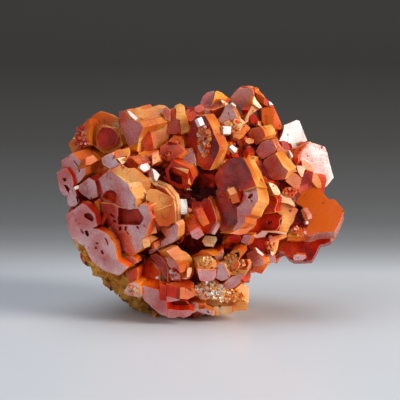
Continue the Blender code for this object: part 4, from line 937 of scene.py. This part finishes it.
def ring_crystals():
    """The crystals over the sides, the top and the back, each with a little scatter of its own."""
    scatter = Random(RING_SEED)
    middle, radii = CRUST[0]
    crystals = []
    for lift, first, last, count, size in RINGS:
        for i in range(count):
            step = i + scatter.uniform(-RING_SHIFT, RING_SHIFT)
            turn = first + (last - first) * step / (count - 1)
            out = looking(turn, lift + scatter.uniform(-RING_LIFT, RING_LIFT))
            reach = scatter.uniform(*RING_REACH)
            at = Vector([m + r * d * reach for m, r, d in zip(middle, radii, out)])
            facing_turn = turn + scatter.uniform(-RING_TURN, RING_TURN)
            facing = (facing_turn, lift + scatter.uniform(-RING_TILT, RING_TILT))
            sides = [scatter.uniform(*RING_SIDES) for side in range(6)]
            roll, apothem = scatter.uniform(0, 60), size * scatter.uniform(*RING_SIZE)
            looks = RING_LOOKS[len(crystals) % len(RING_LOOKS)]
            crystals.append((standing(at, facing, roll), apothem, RING_LENGTH, sides, *looks))
    return crystals


def back_crystals(rows):
    """The crystals of one group at the back, which stand on the main lump of the rock."""
    crystals = []
    for stands, facing, roll, apothem, height in rows:
        at = rock_surface(ROCK[0], looking(*stands)) + looking(*facing) * height
        looks = RING_LOOKS[len(crystals) % len(RING_LOOKS)]
        crystals.append((standing(at, facing, roll), apothem, height + BACK_SUNK, EVEN, *looks))
    return crystals


# Outlines
def hexagon(apothem, sides):
    """Corners of a hexagon whose six sides stand at their own distances from its middle."""
    corners = []
    for i in range(6):
        a, b = radians(60 * i), radians(60 * i + 60)
        near, far = apothem * sides[i], apothem * sides[(i + 1) % 6]
        corners.append(Vector((near * sin(b) - far * sin(a), far * cos(a) - near * cos(b), 0)) / sin(b - a))
    return corners


def on_face(place, outline):
    """The outline's corners, seen on the plane of a crystal's front face, in the crystal's own frame."""
    inverse = place.inverted()
    eye = inverse @ EYE
    corners = []
    for across, up in outline:
        ray = inverse.to_3x3() @ line_of_sight(across, up)
        corners.append(eye + ray * (-eye.z / ray.z))
    return corners


def inside(spot, outline):
    """True if the spot lies inside the closed outline."""
    x, y = spot
    crossings = 0
    for (x0, y0), (x1, y1) in zip(outline, outline[1:] + outline[:1]):
        if (y0 > y) != (y1 > y) and x < x0 + (y - y0) * (x1 - x0) / (y1 - y0):
            crossings += 1
    return crossings % 2 == 1


# Steps that the meshes share
def new_mesh():
    """An empty mesh whose faces can carry a tone."""
    mesh = bmesh.new()
    mesh.faces.layers.float.new("tone")
    return mesh


def new_face(mesh, corners, depth):
    """A flat face with these corners, which lies this deep below them."""
    sunk = Vector((0, 0, depth))
    return mesh.faces.new([mesh.verts.new(corner - sunk) for corner in corners])


def grown_face(mesh, face):
    """Extrudes the face with its edges, so that nothing of it is left inside."""
    grown = bmesh.ops.extrude_face_region(mesh, geom=[face, *face.edges, *face.verts])["geom"]
    return [part for part in grown if isinstance(part, bmesh.types.BMFace)][0]


def raised(mesh, face, height):
    """Extrudes the face along +Z and gives the new top face."""
    top = grown_face(mesh, face)
    bmesh.ops.translate(mesh, verts=top.verts, vec=(0, 0, height))
    return top


def widened(mesh, face, scale, middle):
    """Adds a ledge round the face, by which it grows or shrinks, and gives the new face."""
    top = grown_face(mesh, face)
    bmesh.ops.scale(mesh, verts=top.verts, vec=(scale, scale, 1), space=Matrix.Translation(-middle))
    return top


def paint(faces, finish):
    """Puts the faces into the material slot of this finish."""
    for face in faces:
        face.material_index = FINISH_SLOTS[finish]


def set_finishes(mesh, top, looks):
    """Turns all faces outwards, and gives the crystal the finishes of its front face and its sides."""
    face_look, side_look = looks
    bmesh.ops.recalc_face_normals(mesh, faces=mesh.faces)
    paint(mesh.faces, side_look)
    paint([top], face_look)


def placed(mesh, place, scatter):
    """The crystal's mesh at its place, with a growth pattern and a shade of its own."""
    draw_uv(mesh, scatter.uniform(0, PATTERN_SHIFT))
    shade = scatter.random()
    tone = mesh.faces.layers.float["tone"]
    for face in mesh.faces:
        face[tone] = shade
    bmesh.ops.transform(mesh, matrix=place, verts=mesh.verts)
    return mesh


def draw_uv(mesh, shift):
    """UV in millimetres: across and up a side, and flat on an end face."""
    layer = mesh.loops.layers.uv.verify()
    for face in mesh.faces:
        normal = face.normal
        if abs(normal.z) > END_FACE:
            across, up = Vector((1, 0, 0)), Vector((0, 1, 0))
        else:
            across, up = Vector((-normal.y, normal.x, 0)).normalized(), Vector((0, 0, 1))
        for loop in face.loops:
            co = loop.vert.co
            loop[layer].uv = (co.dot(across) + shift, co.dot(up) + shift)


def joined(meshes):
    """All the meshes in one, with their UVs, finishes and tones."""
    whole = new_mesh()
    whole.loops.layers.uv.verify()
    for mesh in meshes:
        data = bpy.data.meshes.new("part")
        mesh.to_mesh(data)
        mesh.free()
        whole.from_mesh(data)
        bpy.data.meshes.remove(data)
    return whole


# Large crystals
def for_size(size, limits):
    """How much larger or smaller a detail is on a crystal of this size."""
    smallest, largest = limits
    return min(largest, max(smallest, size / USUAL_SIZE))


def growth_layers(corners, length, size, looks, scatter):
    """A stack of plates of this outline, uneven in thickness, of which some stand back a little."""
    mesh = new_mesh()
    middle = sum(corners, Vector()) / len(corners)
    top = new_face(mesh, corners, length)
    height, width = -length, 1.0
    while height < 0:
        rise = scatter.uniform(*LAYERS) * for_size(size, LAYER_LIMITS)
        if height + rise > -LAYERS[0]:
            rise = -height
        top = raised(mesh, top, rise)
        height += rise
        wanted = 1 - scatter.choice(LEDGES) * for_size(size, LEDGE_LIMITS) / size
        if height < 0 and wanted != width:
            top = widened(mesh, top, wanted / width, middle)
            width = wanted
    set_finishes(mesh, top, looks)
    return mesh


def bevel_edges(mesh, size):
    """Narrow bevels on the long sharp edges that face outwards, in the rim finish: a painted highlight along
    the edges.
    """
    width = EDGE_WIDTH * for_size(size, EDGE_LIMITS)
    sharp = [
        edge for edge in mesh.edges
        if edge.is_manifold and edge.calc_face_angle_signed() > EDGE_ANGLE
        and edge.calc_length() > EDGE_LENGTH * width
    ]
    bmesh.ops.bevel(
        mesh, geom=sharp, offset=width, offset_type="OFFSET", affect="EDGES", segments=1, profile=0.5,
        material=FINISH_SLOTS["rim"], clamp_overlap=True,
    )
    mesh.normal_update()


def last_layer(mesh, corners, height, finish):
    """A thin last layer of this outline on the front face."""
    before = set(mesh.faces)
    raised(mesh, new_face(mesh, corners, LAST_LAYER_FOOT), LAST_LAYER_FOOT + height)
    paint(set(mesh.faces) - before, finish)
    bmesh.ops.recalc_face_normals(mesh, faces=mesh.faces)


def terrace(mesh, apothem, sides, finish, scatter):
    """A last layer with six sides of its own."""
    inner = [side * scatter.uniform(*TERRACE_SIDES) for side in sides]
    last_layer(mesh, hexagon(apothem, inner), scatter.uniform(*TERRACE_HEIGHT), finish)


def corner_layer(mesh, corners, finish, scatter):
    """A last layer, smaller than the face, that starts near one of the corners."""
    start = scatter.choice(corners) * CORNER_START
    share = scatter.uniform(*CORNER_SHARE)
    outline = [start.lerp(corner * CORNER_REACH, share) for corner in corners]
    last_layer(mesh, outline, scatter.uniform(*CORNER_HEIGHT), finish)


def crystal_mesh(crystal, scatter):
    """A six-sided crystal grown in uneven layers, with bevelled edges and a terrace on its front."""
    place, apothem, length, sides, *looks = crystal
    mesh = growth_layers(hexagon(apothem, sides), length, apothem, looks, scatter)
    bevel_edges(mesh, apothem)
    if apothem > TERRACE_SIZE:
        terrace(mesh, apothem, sides, looks[0], scatter)
    return placed(mesh, place, scatter)


def plate_mesh(plate, scatter):
    """A crystal whose front face has its own outline, with pits cut into it or a last layer on it."""
    *looks, facing, at, thickness, outline = plate[:6]
    pits = plate[6:]
    place = standing(seen(*at), facing, 0)
    corners = on_face(place, outline)
    size = sum(corner.length for corner in corners) / len(corners)
    mesh = growth_layers(corners, thickness, min(size, PLATE_LAYER_SIZE), looks, scatter)
    bevel_edges(mesh, size)
    if pits:
        mesh = pitted(mesh, [(depth, on_face(place, hole)) for depth, hole in pits])
    elif size > CORNER_SIZE and len(corners) <= CORNER_COUNT:
        corner_layer(mesh, corners, looks[0], scatter)
    return placed(mesh, place, scatter)


def pitted(mesh, pits):
    """The mesh with a pit of red walls cut into its front face at each outline."""
    cutter = bmesh.new()
    for depth, corners in pits:
        raised(cutter, new_face(cutter, corners, depth), depth + PIT_CLEARANCE)
    paint(cutter.faces, "pit")
    bmesh.ops.recalc_face_normals(cutter, faces=cutter.faces)
    empty_slots = [None] * len(FINISHES)
    solids = [new_object("loose", part, empty_slots) for part in (mesh, cutter)]
    cut = solids[0].modifiers.new("pits", "BOOLEAN")
    cut.operation = "DIFFERENCE"
    cut.solver = "EXACT"
    cut.object = solids[1]
    graph = bpy.context.evaluated_depsgraph_get()
    result = bmesh.new()
    result.from_mesh(solids[0].evaluated_get(graph).to_mesh())
    for solid in solids:
        data = solid.data
        bpy.data.objects.remove(solid)
        bpy.data.meshes.remove(data)
    return result


# Small crystals
def small_crystal(crystal, scatter):
    """A plain six-sided crystal of few faces."""
    place, apothem, length, sides, *looks = crystal
    mesh = new_mesh()
    top = raised(mesh, new_face(mesh, hexagon(apothem, sides), length), length)
    set_finishes(mesh, top, looks)
    return placed(mesh, place, scatter)


def small_sides(scatter):
    """How far out each side of a small crystal stands, as a share."""
    return [scatter.uniform(*SMALL_SIDES) for side in range(6)]


def blocks(blocker, point, room):
    """True if the point lies inside this crystal or closer to it than room."""
    inverse, apothem, length, sides = blocker
    local = inverse @ point
    if not -length - room < local.z < room:
        return False
    return all(
        local.x * cos(radians(60 * i)) + local.y * sin(radians(60 * i)) < apothem * side + room
        for i, side in enumerate(sides)
    )


def hides(plate, point, room):
    """True if a small crystal at this point would stand before the plate's face or in the plate."""
    facing, at, thickness, outline = plate[2:6]
    depth = (point - seen(*at)).dot(looking(*facing))
    if depth < -thickness:
        return False
    across, up = sheet_place(point)
    spots = [(across + dx, up + dz) for dx, dz in ((0, 0), (room, 0), (-room, 0), (0, room), (0, -room))]
    return any(inside(spot, outline) for spot in spots)


def in_hollow(point, hollow):
    """True if the point shows inside the oval of a hollow."""
    (across, up), (half_width, half_height) = hollow
    x, z = sheet_place(point)
    return ((x - across) / half_width) ** 2 + ((z - up) / half_height) ** 2 < 1


def crust_crystal(smallest, largest, blockers, scatter):
    """A small crystal that stands out of the crust at a slant; none where a large one is in the way."""
    middle, radii = scatter.choices(CRUST, DRUSE_SHARES)[0]
    out = looking(scatter.uniform(0, 360), scatter.uniform(*DRUSE_LIFT))
    facing = (out + Vector([scatter.uniform(-DRUSE_LEAN, DRUSE_LEAN) for axis in range(3)])).normalized()
    apothem = scatter.uniform(smallest, largest)
    height = apothem * scatter.uniform(*DRUSE_HEIGHT)
    tip = crust_surface(middle, radii, out) + facing * height
    in_front = out.y < DRUSE_FRONT
    if any(blocks(blocker, tip, apothem * DRUSE_ROOM) for blocker in blockers):
        return None
    if in_front and any(hides(plate, tip, apothem * DRUSE_PLATE_ROOM) for plate in PLATES):
        return None
    place = Matrix.Translation(tip) @ leaning(facing, scatter)
    sides = small_sides(scatter)
    looks = scatter.choice(DRUSE_LOOKS)
    # druse in a hollow gets the near-black look, which is painted shade
    if in_front and any(in_hollow(tip, hollow) for hollow in HOLLOWS):
        looks = HOLLOW_PAINTED_SHADE
    return small_crystal((place, apothem, height + DRUSE_ROOT, sides, *looks), scatter)


def crust_crystals(crystals):
    """The small crystals over the crust, between these large ones and the outlined ones."""
    scatter = Random(DRUSE_SEED)
    blockers = [(crystal[0].inverted(), *crystal[1:4]) for crystal in crystals]
    meshes = []
    for count, smallest, largest in DRUSE:
        for i in range(count):
            meshes.append(crust_crystal(smallest, largest, blockers, scatter))
    return [mesh for mesh in meshes if mesh is not None]


def patch_crystals(patch, scatter):
    """The small crystals of one patch, which stand out of its plane at a slant."""
    at, facing, (half_width, half_height), count, sizes, looks = patch
    plane = standing(seen(*at), facing, 0)
    meshes = []
    for i in range(count):
        angle, reach = scatter.uniform(0, 2 * pi), scatter.random() ** 0.5
        apothem = scatter.uniform(*sizes)
        height = apothem * scatter.uniform(*PATCH_HEIGHT)
        spot = Matrix.Translation((half_width * reach * cos(angle), half_height * reach * sin(angle), 0))
        slant = [scatter.uniform(-PATCH_LEAN, PATCH_LEAN) for axis in range(2)]
        turned = leaning(Vector((*slant, 1)), scatter)
        place = plane @ spot @ turned @ Matrix.Translation((0, 0, height))
        sides = small_sides(scatter)
        crystal = (place, apothem, height + apothem, sides, *scatter.choice(looks))
        meshes.append(small_crystal(crystal, scatter))
    return meshes


def druse_mesh(crystals):
    """All the small crystals: those over the crust, and those of the patches."""
    meshes = crust_crystals(crystals)
    scatter = Random(PATCH_SEED)
    for patch in PATCHES:
        meshes += patch_crystals(patch, scatter)
    return joined(meshes)


# Crust and rock
def crust_mesh():
    """The body that the crystals grow on: blocky, and a little below the feet of the small ones."""
    meshes = []
    for middle, radii in CRUST:
        mesh = new_mesh()
        bmesh.ops.create_icosphere(mesh, subdivisions=CRUST_FINENESS, radius=1)
        for vert in mesh.verts:
            direction = vert.co.normalized()
            block = noise.cell(direction * CRUST_BLOCK_SIZE) * CRUST_BLOCKS
            vert.co = crust_surface(middle, radii, direction) - direction * (CRUST_SUNK + block)
        paint(mesh.faces, "pit")
        meshes.append(mesh)
    return joined(meshes)


def rock_mesh():
    """The lumps of the rock, with a grainy and blocky surface, cut flat where they stand."""
    meshes = []
    for lump, fineness in zip(ROCK, ROCK_FINENESS):
        mesh = bmesh.new()
        bmesh.ops.create_icosphere(mesh, subdivisions=fineness, radius=1)
        for vert in mesh.verts:
            direction = vert.co.normalized()
            at = rock_surface(lump, direction)
            grain = noise.fractal(at * ROCK_GRAIN_SIZE, *ROCK_GRAIN_OCTAVES) * ROCK_GRAIN
            block = noise.cell(at * ROCK_BLOCK_SIZE) * ROCK_BLOCKS
            vert.co = at + direction * (grain + block - ROCK_SUNK)
            if vert.co.x > ROCK_RIGHT:
                vert.co.x = ROCK_RIGHT + (vert.co.x - ROCK_RIGHT) * ROCK_RIGHT_SHARE
        parts = mesh.verts[:] + mesh.edges[:] + mesh.faces[:]
        bmesh.ops.bisect_plane(mesh, geom=parts, plane_co=(0, 0, 0), plane_no=(0, 0, 1), clear_inner=True)
        bmesh.ops.holes_fill(mesh, edges=[edge for edge in mesh.edges if edge.is_boundary])
        bmesh.ops.recalc_face_normals(mesh, faces=mesh.faces)
        meshes.append(mesh)
    return joined(meshes)


# Objects
def new_object(name, mesh, materials):
    """An object of the finished mesh, with these material slots."""
    data = bpy.data.meshes.new(name)
    mesh.to_mesh(data)
    mesh.free()
    for material in materials:
        data.materials.append(material)
    made = bpy.data.objects.new(name, data)
    bpy.context.scene.collection.objects.link(made)
    return made


def piece(name, mesh, materials, slot, *nodes):
    """The mesh, drawn in millimetres, as a piece in metres that rides on the specimen."""
    bmesh.ops.transform(mesh, matrix=TO_FRAME, verts=mesh.verts)
    made = new_object(name, mesh, materials)
    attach(made, "root")
    if nodes:
        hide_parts(*nodes)


# Nodes of the materials
def new_material(name):
    """A material, its node tree and its shader."""
    material = bpy.data.materials.new(name)
    material.use_nodes = True
    return material, material.node_tree, material.node_tree.nodes["Principled BSDF"]


def add(tree, kind, **values):
    """A new node with some of its inputs or settings set by name."""
    node = tree.nodes.new(kind)
    for name, value in values.items():
        key = name.replace("_", " ").title()
        if key in node.inputs:
            node.inputs[key].default_value = value
        else:
            setattr(node, name, value)
    return node


def object_noise(tree, place, pattern):
    """Noise over the piece's own coordinates, with its cells per metre, detail and roughness."""
    scale, detail, roughness = pattern
    node = add(tree, "ShaderNodeTexNoise", scale=scale, detail=detail, roughness=roughness)
    tree.links.new(place.outputs["Object"], node.inputs["Vector"])
    return node.outputs["Fac"]


def mapped(tree, value, low, high, to_low=0, to_high=1):
    """The value, moved from one range to another."""
    node = add(tree, "ShaderNodeMapRange", from_min=low, from_max=high, to_min=to_low, to_max=to_high)
    tree.links.new(value, node.inputs["Value"])
    return node.outputs["Result"]


def product(tree, first, second):
    """One value times the other."""
    node = add(tree, "ShaderNodeMath", operation="MULTIPLY")
    tree.links.new(first, node.inputs[0])
    tree.links.new(second, node.inputs[1])
    return node.outputs[0]


def weighted(tree, *parts):
    """The sum of the values, each times its weight."""
    total = None
    for value, weight in parts:
        node = add(tree, "ShaderNodeMath", operation="MULTIPLY_ADD")
        tree.links.new(value, node.inputs[0])
        node.inputs[1].default_value = weight
        if total is None:
            node.inputs[2].default_value = 0
        else:
            tree.links.new(total, node.inputs[2])
        total = node.outputs[0]
    return total


def ramp(tree, value, stops, middle=0.5):
    """A colour ramp over the value; stops are (position, colour), and middle goes to 0.5."""
    node = tree.nodes.new("ShaderNodeValToRGB")
    if middle != 0.5:
        moved = add(tree, "ShaderNodeMath", operation="SUBTRACT")
        tree.links.new(value, moved.inputs[0])
        moved.inputs[1].default_value = middle - 0.5
        value = moved.outputs[0]
    while len(node.color_ramp.elements) < len(stops):
        node.color_ramp.elements.new(0.5)
    for element, (position, colour) in zip(node.color_ramp.elements, stops):
        element.position = position
        element.color = (*colour, 1)
    tree.links.new(value, node.inputs["Fac"])
    return node.outputs["Color"]


def add_bump(tree, shader, height, strength, distance):
    """Raises the shader's surface by the height pattern."""
    bump = add(tree, "ShaderNodeBump", strength=strength, distance=distance)
    tree.links.new(height, bump.inputs["Height"])
    tree.links.new(bump.outputs["Normal"], shader.inputs["Normal"])


# Materials
def growth_bands(group, place, strength):
    """Bands that run across the sides of a crystal, where its growth went faster or slower."""
    stretch = add(group, "ShaderNodeMapping", scale=BAND_STRETCH)
    group.links.new(place.outputs["UV"], stretch.inputs["Vector"])
    band = add(group, "ShaderNodeTexNoise", **BAND_NOISE)
    group.links.new(stretch.outputs["Vector"], band.inputs["Vector"])
    return product(group, band.outputs["Fac"], strength)


def growth_pattern():
    """Node group: the clouds, growth bands, grain, lustre and etched pits that all crystal faces share."""
    group = bpy.data.node_groups.new("growth_pattern", "ShaderNodeTree")
    group.interface.new_socket("Bands", in_out="INPUT", socket_type="NodeSocketFloat")
    given = group.nodes.new("NodeGroupInput")
    place = add(group, "ShaderNodeTexCoord")
    tone = add(group, "ShaderNodeAttribute", attribute_name="tone").outputs["Fac"]
    cloud = object_noise(group, place, CLOUDS)
    broad = object_noise(group, place, BROAD_CLOUDS)
    grain = object_noise(group, place, GRAIN)
    bands = growth_bands(group, place, given.outputs["Bands"])
    etched = mapped(group, object_noise(group, place, ETCHED_PITS), *ETCHED_RANGE)
    where = mapped(group, object_noise(group, place, ETCHED_PLACES), *PLACES_RANGE)
    pits = product(group, etched, where)
    polish = mapped(group, object_noise(group, place, POLISH), *POLISH_RANGE, *LUSTRE)
    patterns = {
        "Shade": weighted(group, (cloud, CLOUD_SHARE), (broad, BROAD_SHARE), (tone, TONE_SHARE), (bands, 1)),
        "Relief": weighted(
            group, (cloud, CLOUD_RELIEF), (bands, BAND_RELIEF), (grain, GRAIN_RELIEF), (pits, PIT_RELIEF),
        ),
        "Grain": grain,
        "Lustre": product(group, polish, mapped(group, pits, 0, 1, 1, PIT_LUSTRE)),
        "Pits": pits,
    }
    made = group.nodes.new("NodeGroupOutput")
    for name, value in patterns.items():
        group.interface.new_socket(name, in_out="OUTPUT", socket_type="NodeSocketFloat")
        group.links.new(value, made.inputs[name])
    return group


def crystal_material(pattern, name, roughness, bands, glow, ior, *colours):
    """A crystal face: clouded colour with growth bands and etched pits, and a slightly wavy surface."""
    material, tree, shader = new_material(name)
    grown = tree.nodes.new("ShaderNodeGroup")
    grown.node_tree = pattern
    grown.inputs["Bands"].default_value = bands
    middle = (CLOUD_SHARE + BROAD_SHARE + TONE_SHARE + bands) / 2
    clouded = ramp(tree, grown.outputs["Shade"], tuple(zip(SHADE_STOPS, colours)), middle)
    pit_colour = (*[value * PIT_SHADE for value in colours[0]], 1)
    etched = add(tree, "ShaderNodeMix", data_type="RGBA", b=pit_colour)
    tree.links.new(grown.outputs["Pits"], etched.inputs["Factor"])
    tree.links.new(clouded, etched.inputs["A"])
    tree.links.new(etched.outputs["Result"], shader.inputs["Base Color"])
    add_bump(tree, shader, grown.outputs["Relief"], *RELIEF)
    least, most = [roughness * share for share in ROUGHNESS_SPREAD]
    rough = mapped(tree, grown.outputs["Grain"], *GRAIN_RANGE, least, most)
    tree.links.new(rough, shader.inputs["Roughness"])
    tree.links.new(grown.outputs["Lustre"], shader.inputs["Specular IOR Level"])
    shader.inputs["IOR"].default_value = ior
    shader.inputs["Subsurface Weight"].default_value = glow
    shader.inputs["Subsurface Radius"].default_value = GLOW_RADII
    shader.inputs["Subsurface Scale"].default_value = GLOW_DEPTH
    return material


def rock_material():
    """Iron-stained rock: earthy ochre and brown patches, with a rough and gritty surface."""
    material, tree, shader = new_material("ochre_rock")
    place = add(tree, "ShaderNodeTexCoord")
    colour = ramp(tree, object_noise(tree, place, ROCK_PATCHES), ROCK_COLOURS)
    tree.links.new(colour, shader.inputs["Base Color"])
    grit = object_noise(tree, place, ROCK_GRIT)
    add_bump(tree, shader, grit, *ROCK_RELIEF)
    tree.links.new(mapped(tree, grit, 0, 1, *ROCK_ROUGHNESS), shader.inputs["Roughness"])
    return material


def backdrop_material():
    """Pale in front, and darker towards the back: painted shade where less light reaches."""
    material, tree, shader = new_material("backdrop_paper")
    place = add(tree, "ShaderNodeTexCoord")
    split = add(tree, "ShaderNodeSeparateXYZ")
    tree.links.new(place.outputs["Object"], split.inputs["Vector"])
    depth = mapped(tree, split.outputs["Y"], *FLOOR_DEPTHS)
    tree.links.new(ramp(tree, depth, FLOOR_PAINTED_SHADES), shader.inputs["Base Color"])
    shader.inputs["Roughness"].default_value = FLOOR_ROUGHNESS
    return material


# Floor, backdrop, lights and camera
def build_floor():
    """A floor that curves up into the backdrop."""
    bend = [radians(90 * i / BEND_STEPS) for i in range(1, BEND_STEPS + 1)]
    profile = [(-FLOOR_HALF, 0), (FLOOR_BACK, 0)]
    profile += [(FLOOR_BACK + BEND_RADIUS * sin(a), BEND_RADIUS * (1 - cos(a))) for a in bend]
    profile.append((FLOOR_BACK + BEND_RADIUS, BACKDROP_TOP))
    mesh = bmesh.new()
    points = [mesh.verts.new((-FLOOR_HALF, back, up)) for back, up in profile]
    edges = [mesh.edges.new(pair) for pair in zip(points, points[1:])]
    grown = bmesh.ops.extrude_edge_only(mesh, edges=edges)["geom"]
    far_side = [part for part in grown if isinstance(part, bmesh.types.BMVert)]
    bmesh.ops.translate(mesh, verts=far_side, vec=(2 * FLOOR_HALF, 0, 0))
    bmesh.ops.recalc_face_normals(mesh, faces=mesh.faces)
    made = new_object("floor", mesh, [backdrop_material()])
    made.data.shade_smooth()


def softbox(name, direction, distance, size, power, colour):
    """A soft rectangular light that stands in this direction and shines at the specimen."""
    light = bpy.data.lights.new(name, "AREA")
    light.shape = "RECTANGLE"
    light.size, light.size_y = size
    light.energy = power
    light.color = colour
    lamp = bpy.data.objects.new(name, light)
    lamp.location = LIT_POINT + Vector(direction).normalized() * distance
    lamp.rotation_euler = (LIT_POINT - lamp.location).to_track_quat("-Z", "Y").to_euler()
    bpy.context.scene.collection.objects.link(lamp)


def build_lights():
    """The lights, and the faint light of the room."""
    for name, light in LIGHTS.items():
        softbox(name, *light)
    world = bpy.data.worlds.new("studio")
    world.use_nodes = True
    world.node_tree.nodes["Background"].inputs["Color"].default_value = ROOM_COLOUR
    bpy.context.scene.world = world


def build_camera():
    """The viewer of the front sheet, whose width fills the picture."""
    camera = bpy.data.cameras.new("front_view")
    camera.sensor_width = SENSOR
    camera.lens = SENSOR * VIEW_DISTANCE / SHEET_WIDTH
    camera.clip_start = 0.01
    camera.clip_end = 10
    view = bpy.data.objects.new("front_view", camera)
    view.location = TO_FRAME @ EYE
    view.rotation_euler = (SHEET_MIDDLE - EYE).to_track_quat("-Z", "Y").to_euler()
    bpy.context.scene.collection.objects.link(view)
    bpy.context.scene.camera = view


def build_specimen():
    """Every piece of the specimen. The large crystals share their random draws, in this order."""
    pattern = growth_pattern()
    finishes = [crystal_material(pattern, *look) for look in FINISHES.values()]
    scatter = Random(CRYSTAL_SEED)
    front, rings = front_crystals(), ring_crystals()
    plates = [plate_mesh(plate, scatter) for plate in PLATES]
    large = joined([crystal_mesh(crystal, scatter) for crystal in front] + plates)
    piece("front_crystals", large, finishes, "vanadinite", "crystal_cluster")
    around = joined([crystal_mesh(crystal, scatter) for crystal in rings])
    piece("side_crystals", around, finishes, "vanadinite")
    piece("druse", druse_mesh(front + rings), finishes, "vanadinite")
    piece("crust", crust_mesh(), finishes, "vanadinite")
    for name, rows in BACK_GROUPS.items():
        group = joined([crystal_mesh(crystal, scatter) for crystal in back_crystals(rows)])
        piece(name.replace("crystals", "group"), group, finishes, "vanadinite", name)
    piece("rock", rock_mesh(), [rock_material()], "rock", "matrix")


build_camera()
build_floor()
build_lights()
build_specimen()
bpy.context.scene.view_settings.view_transform = "Standard"
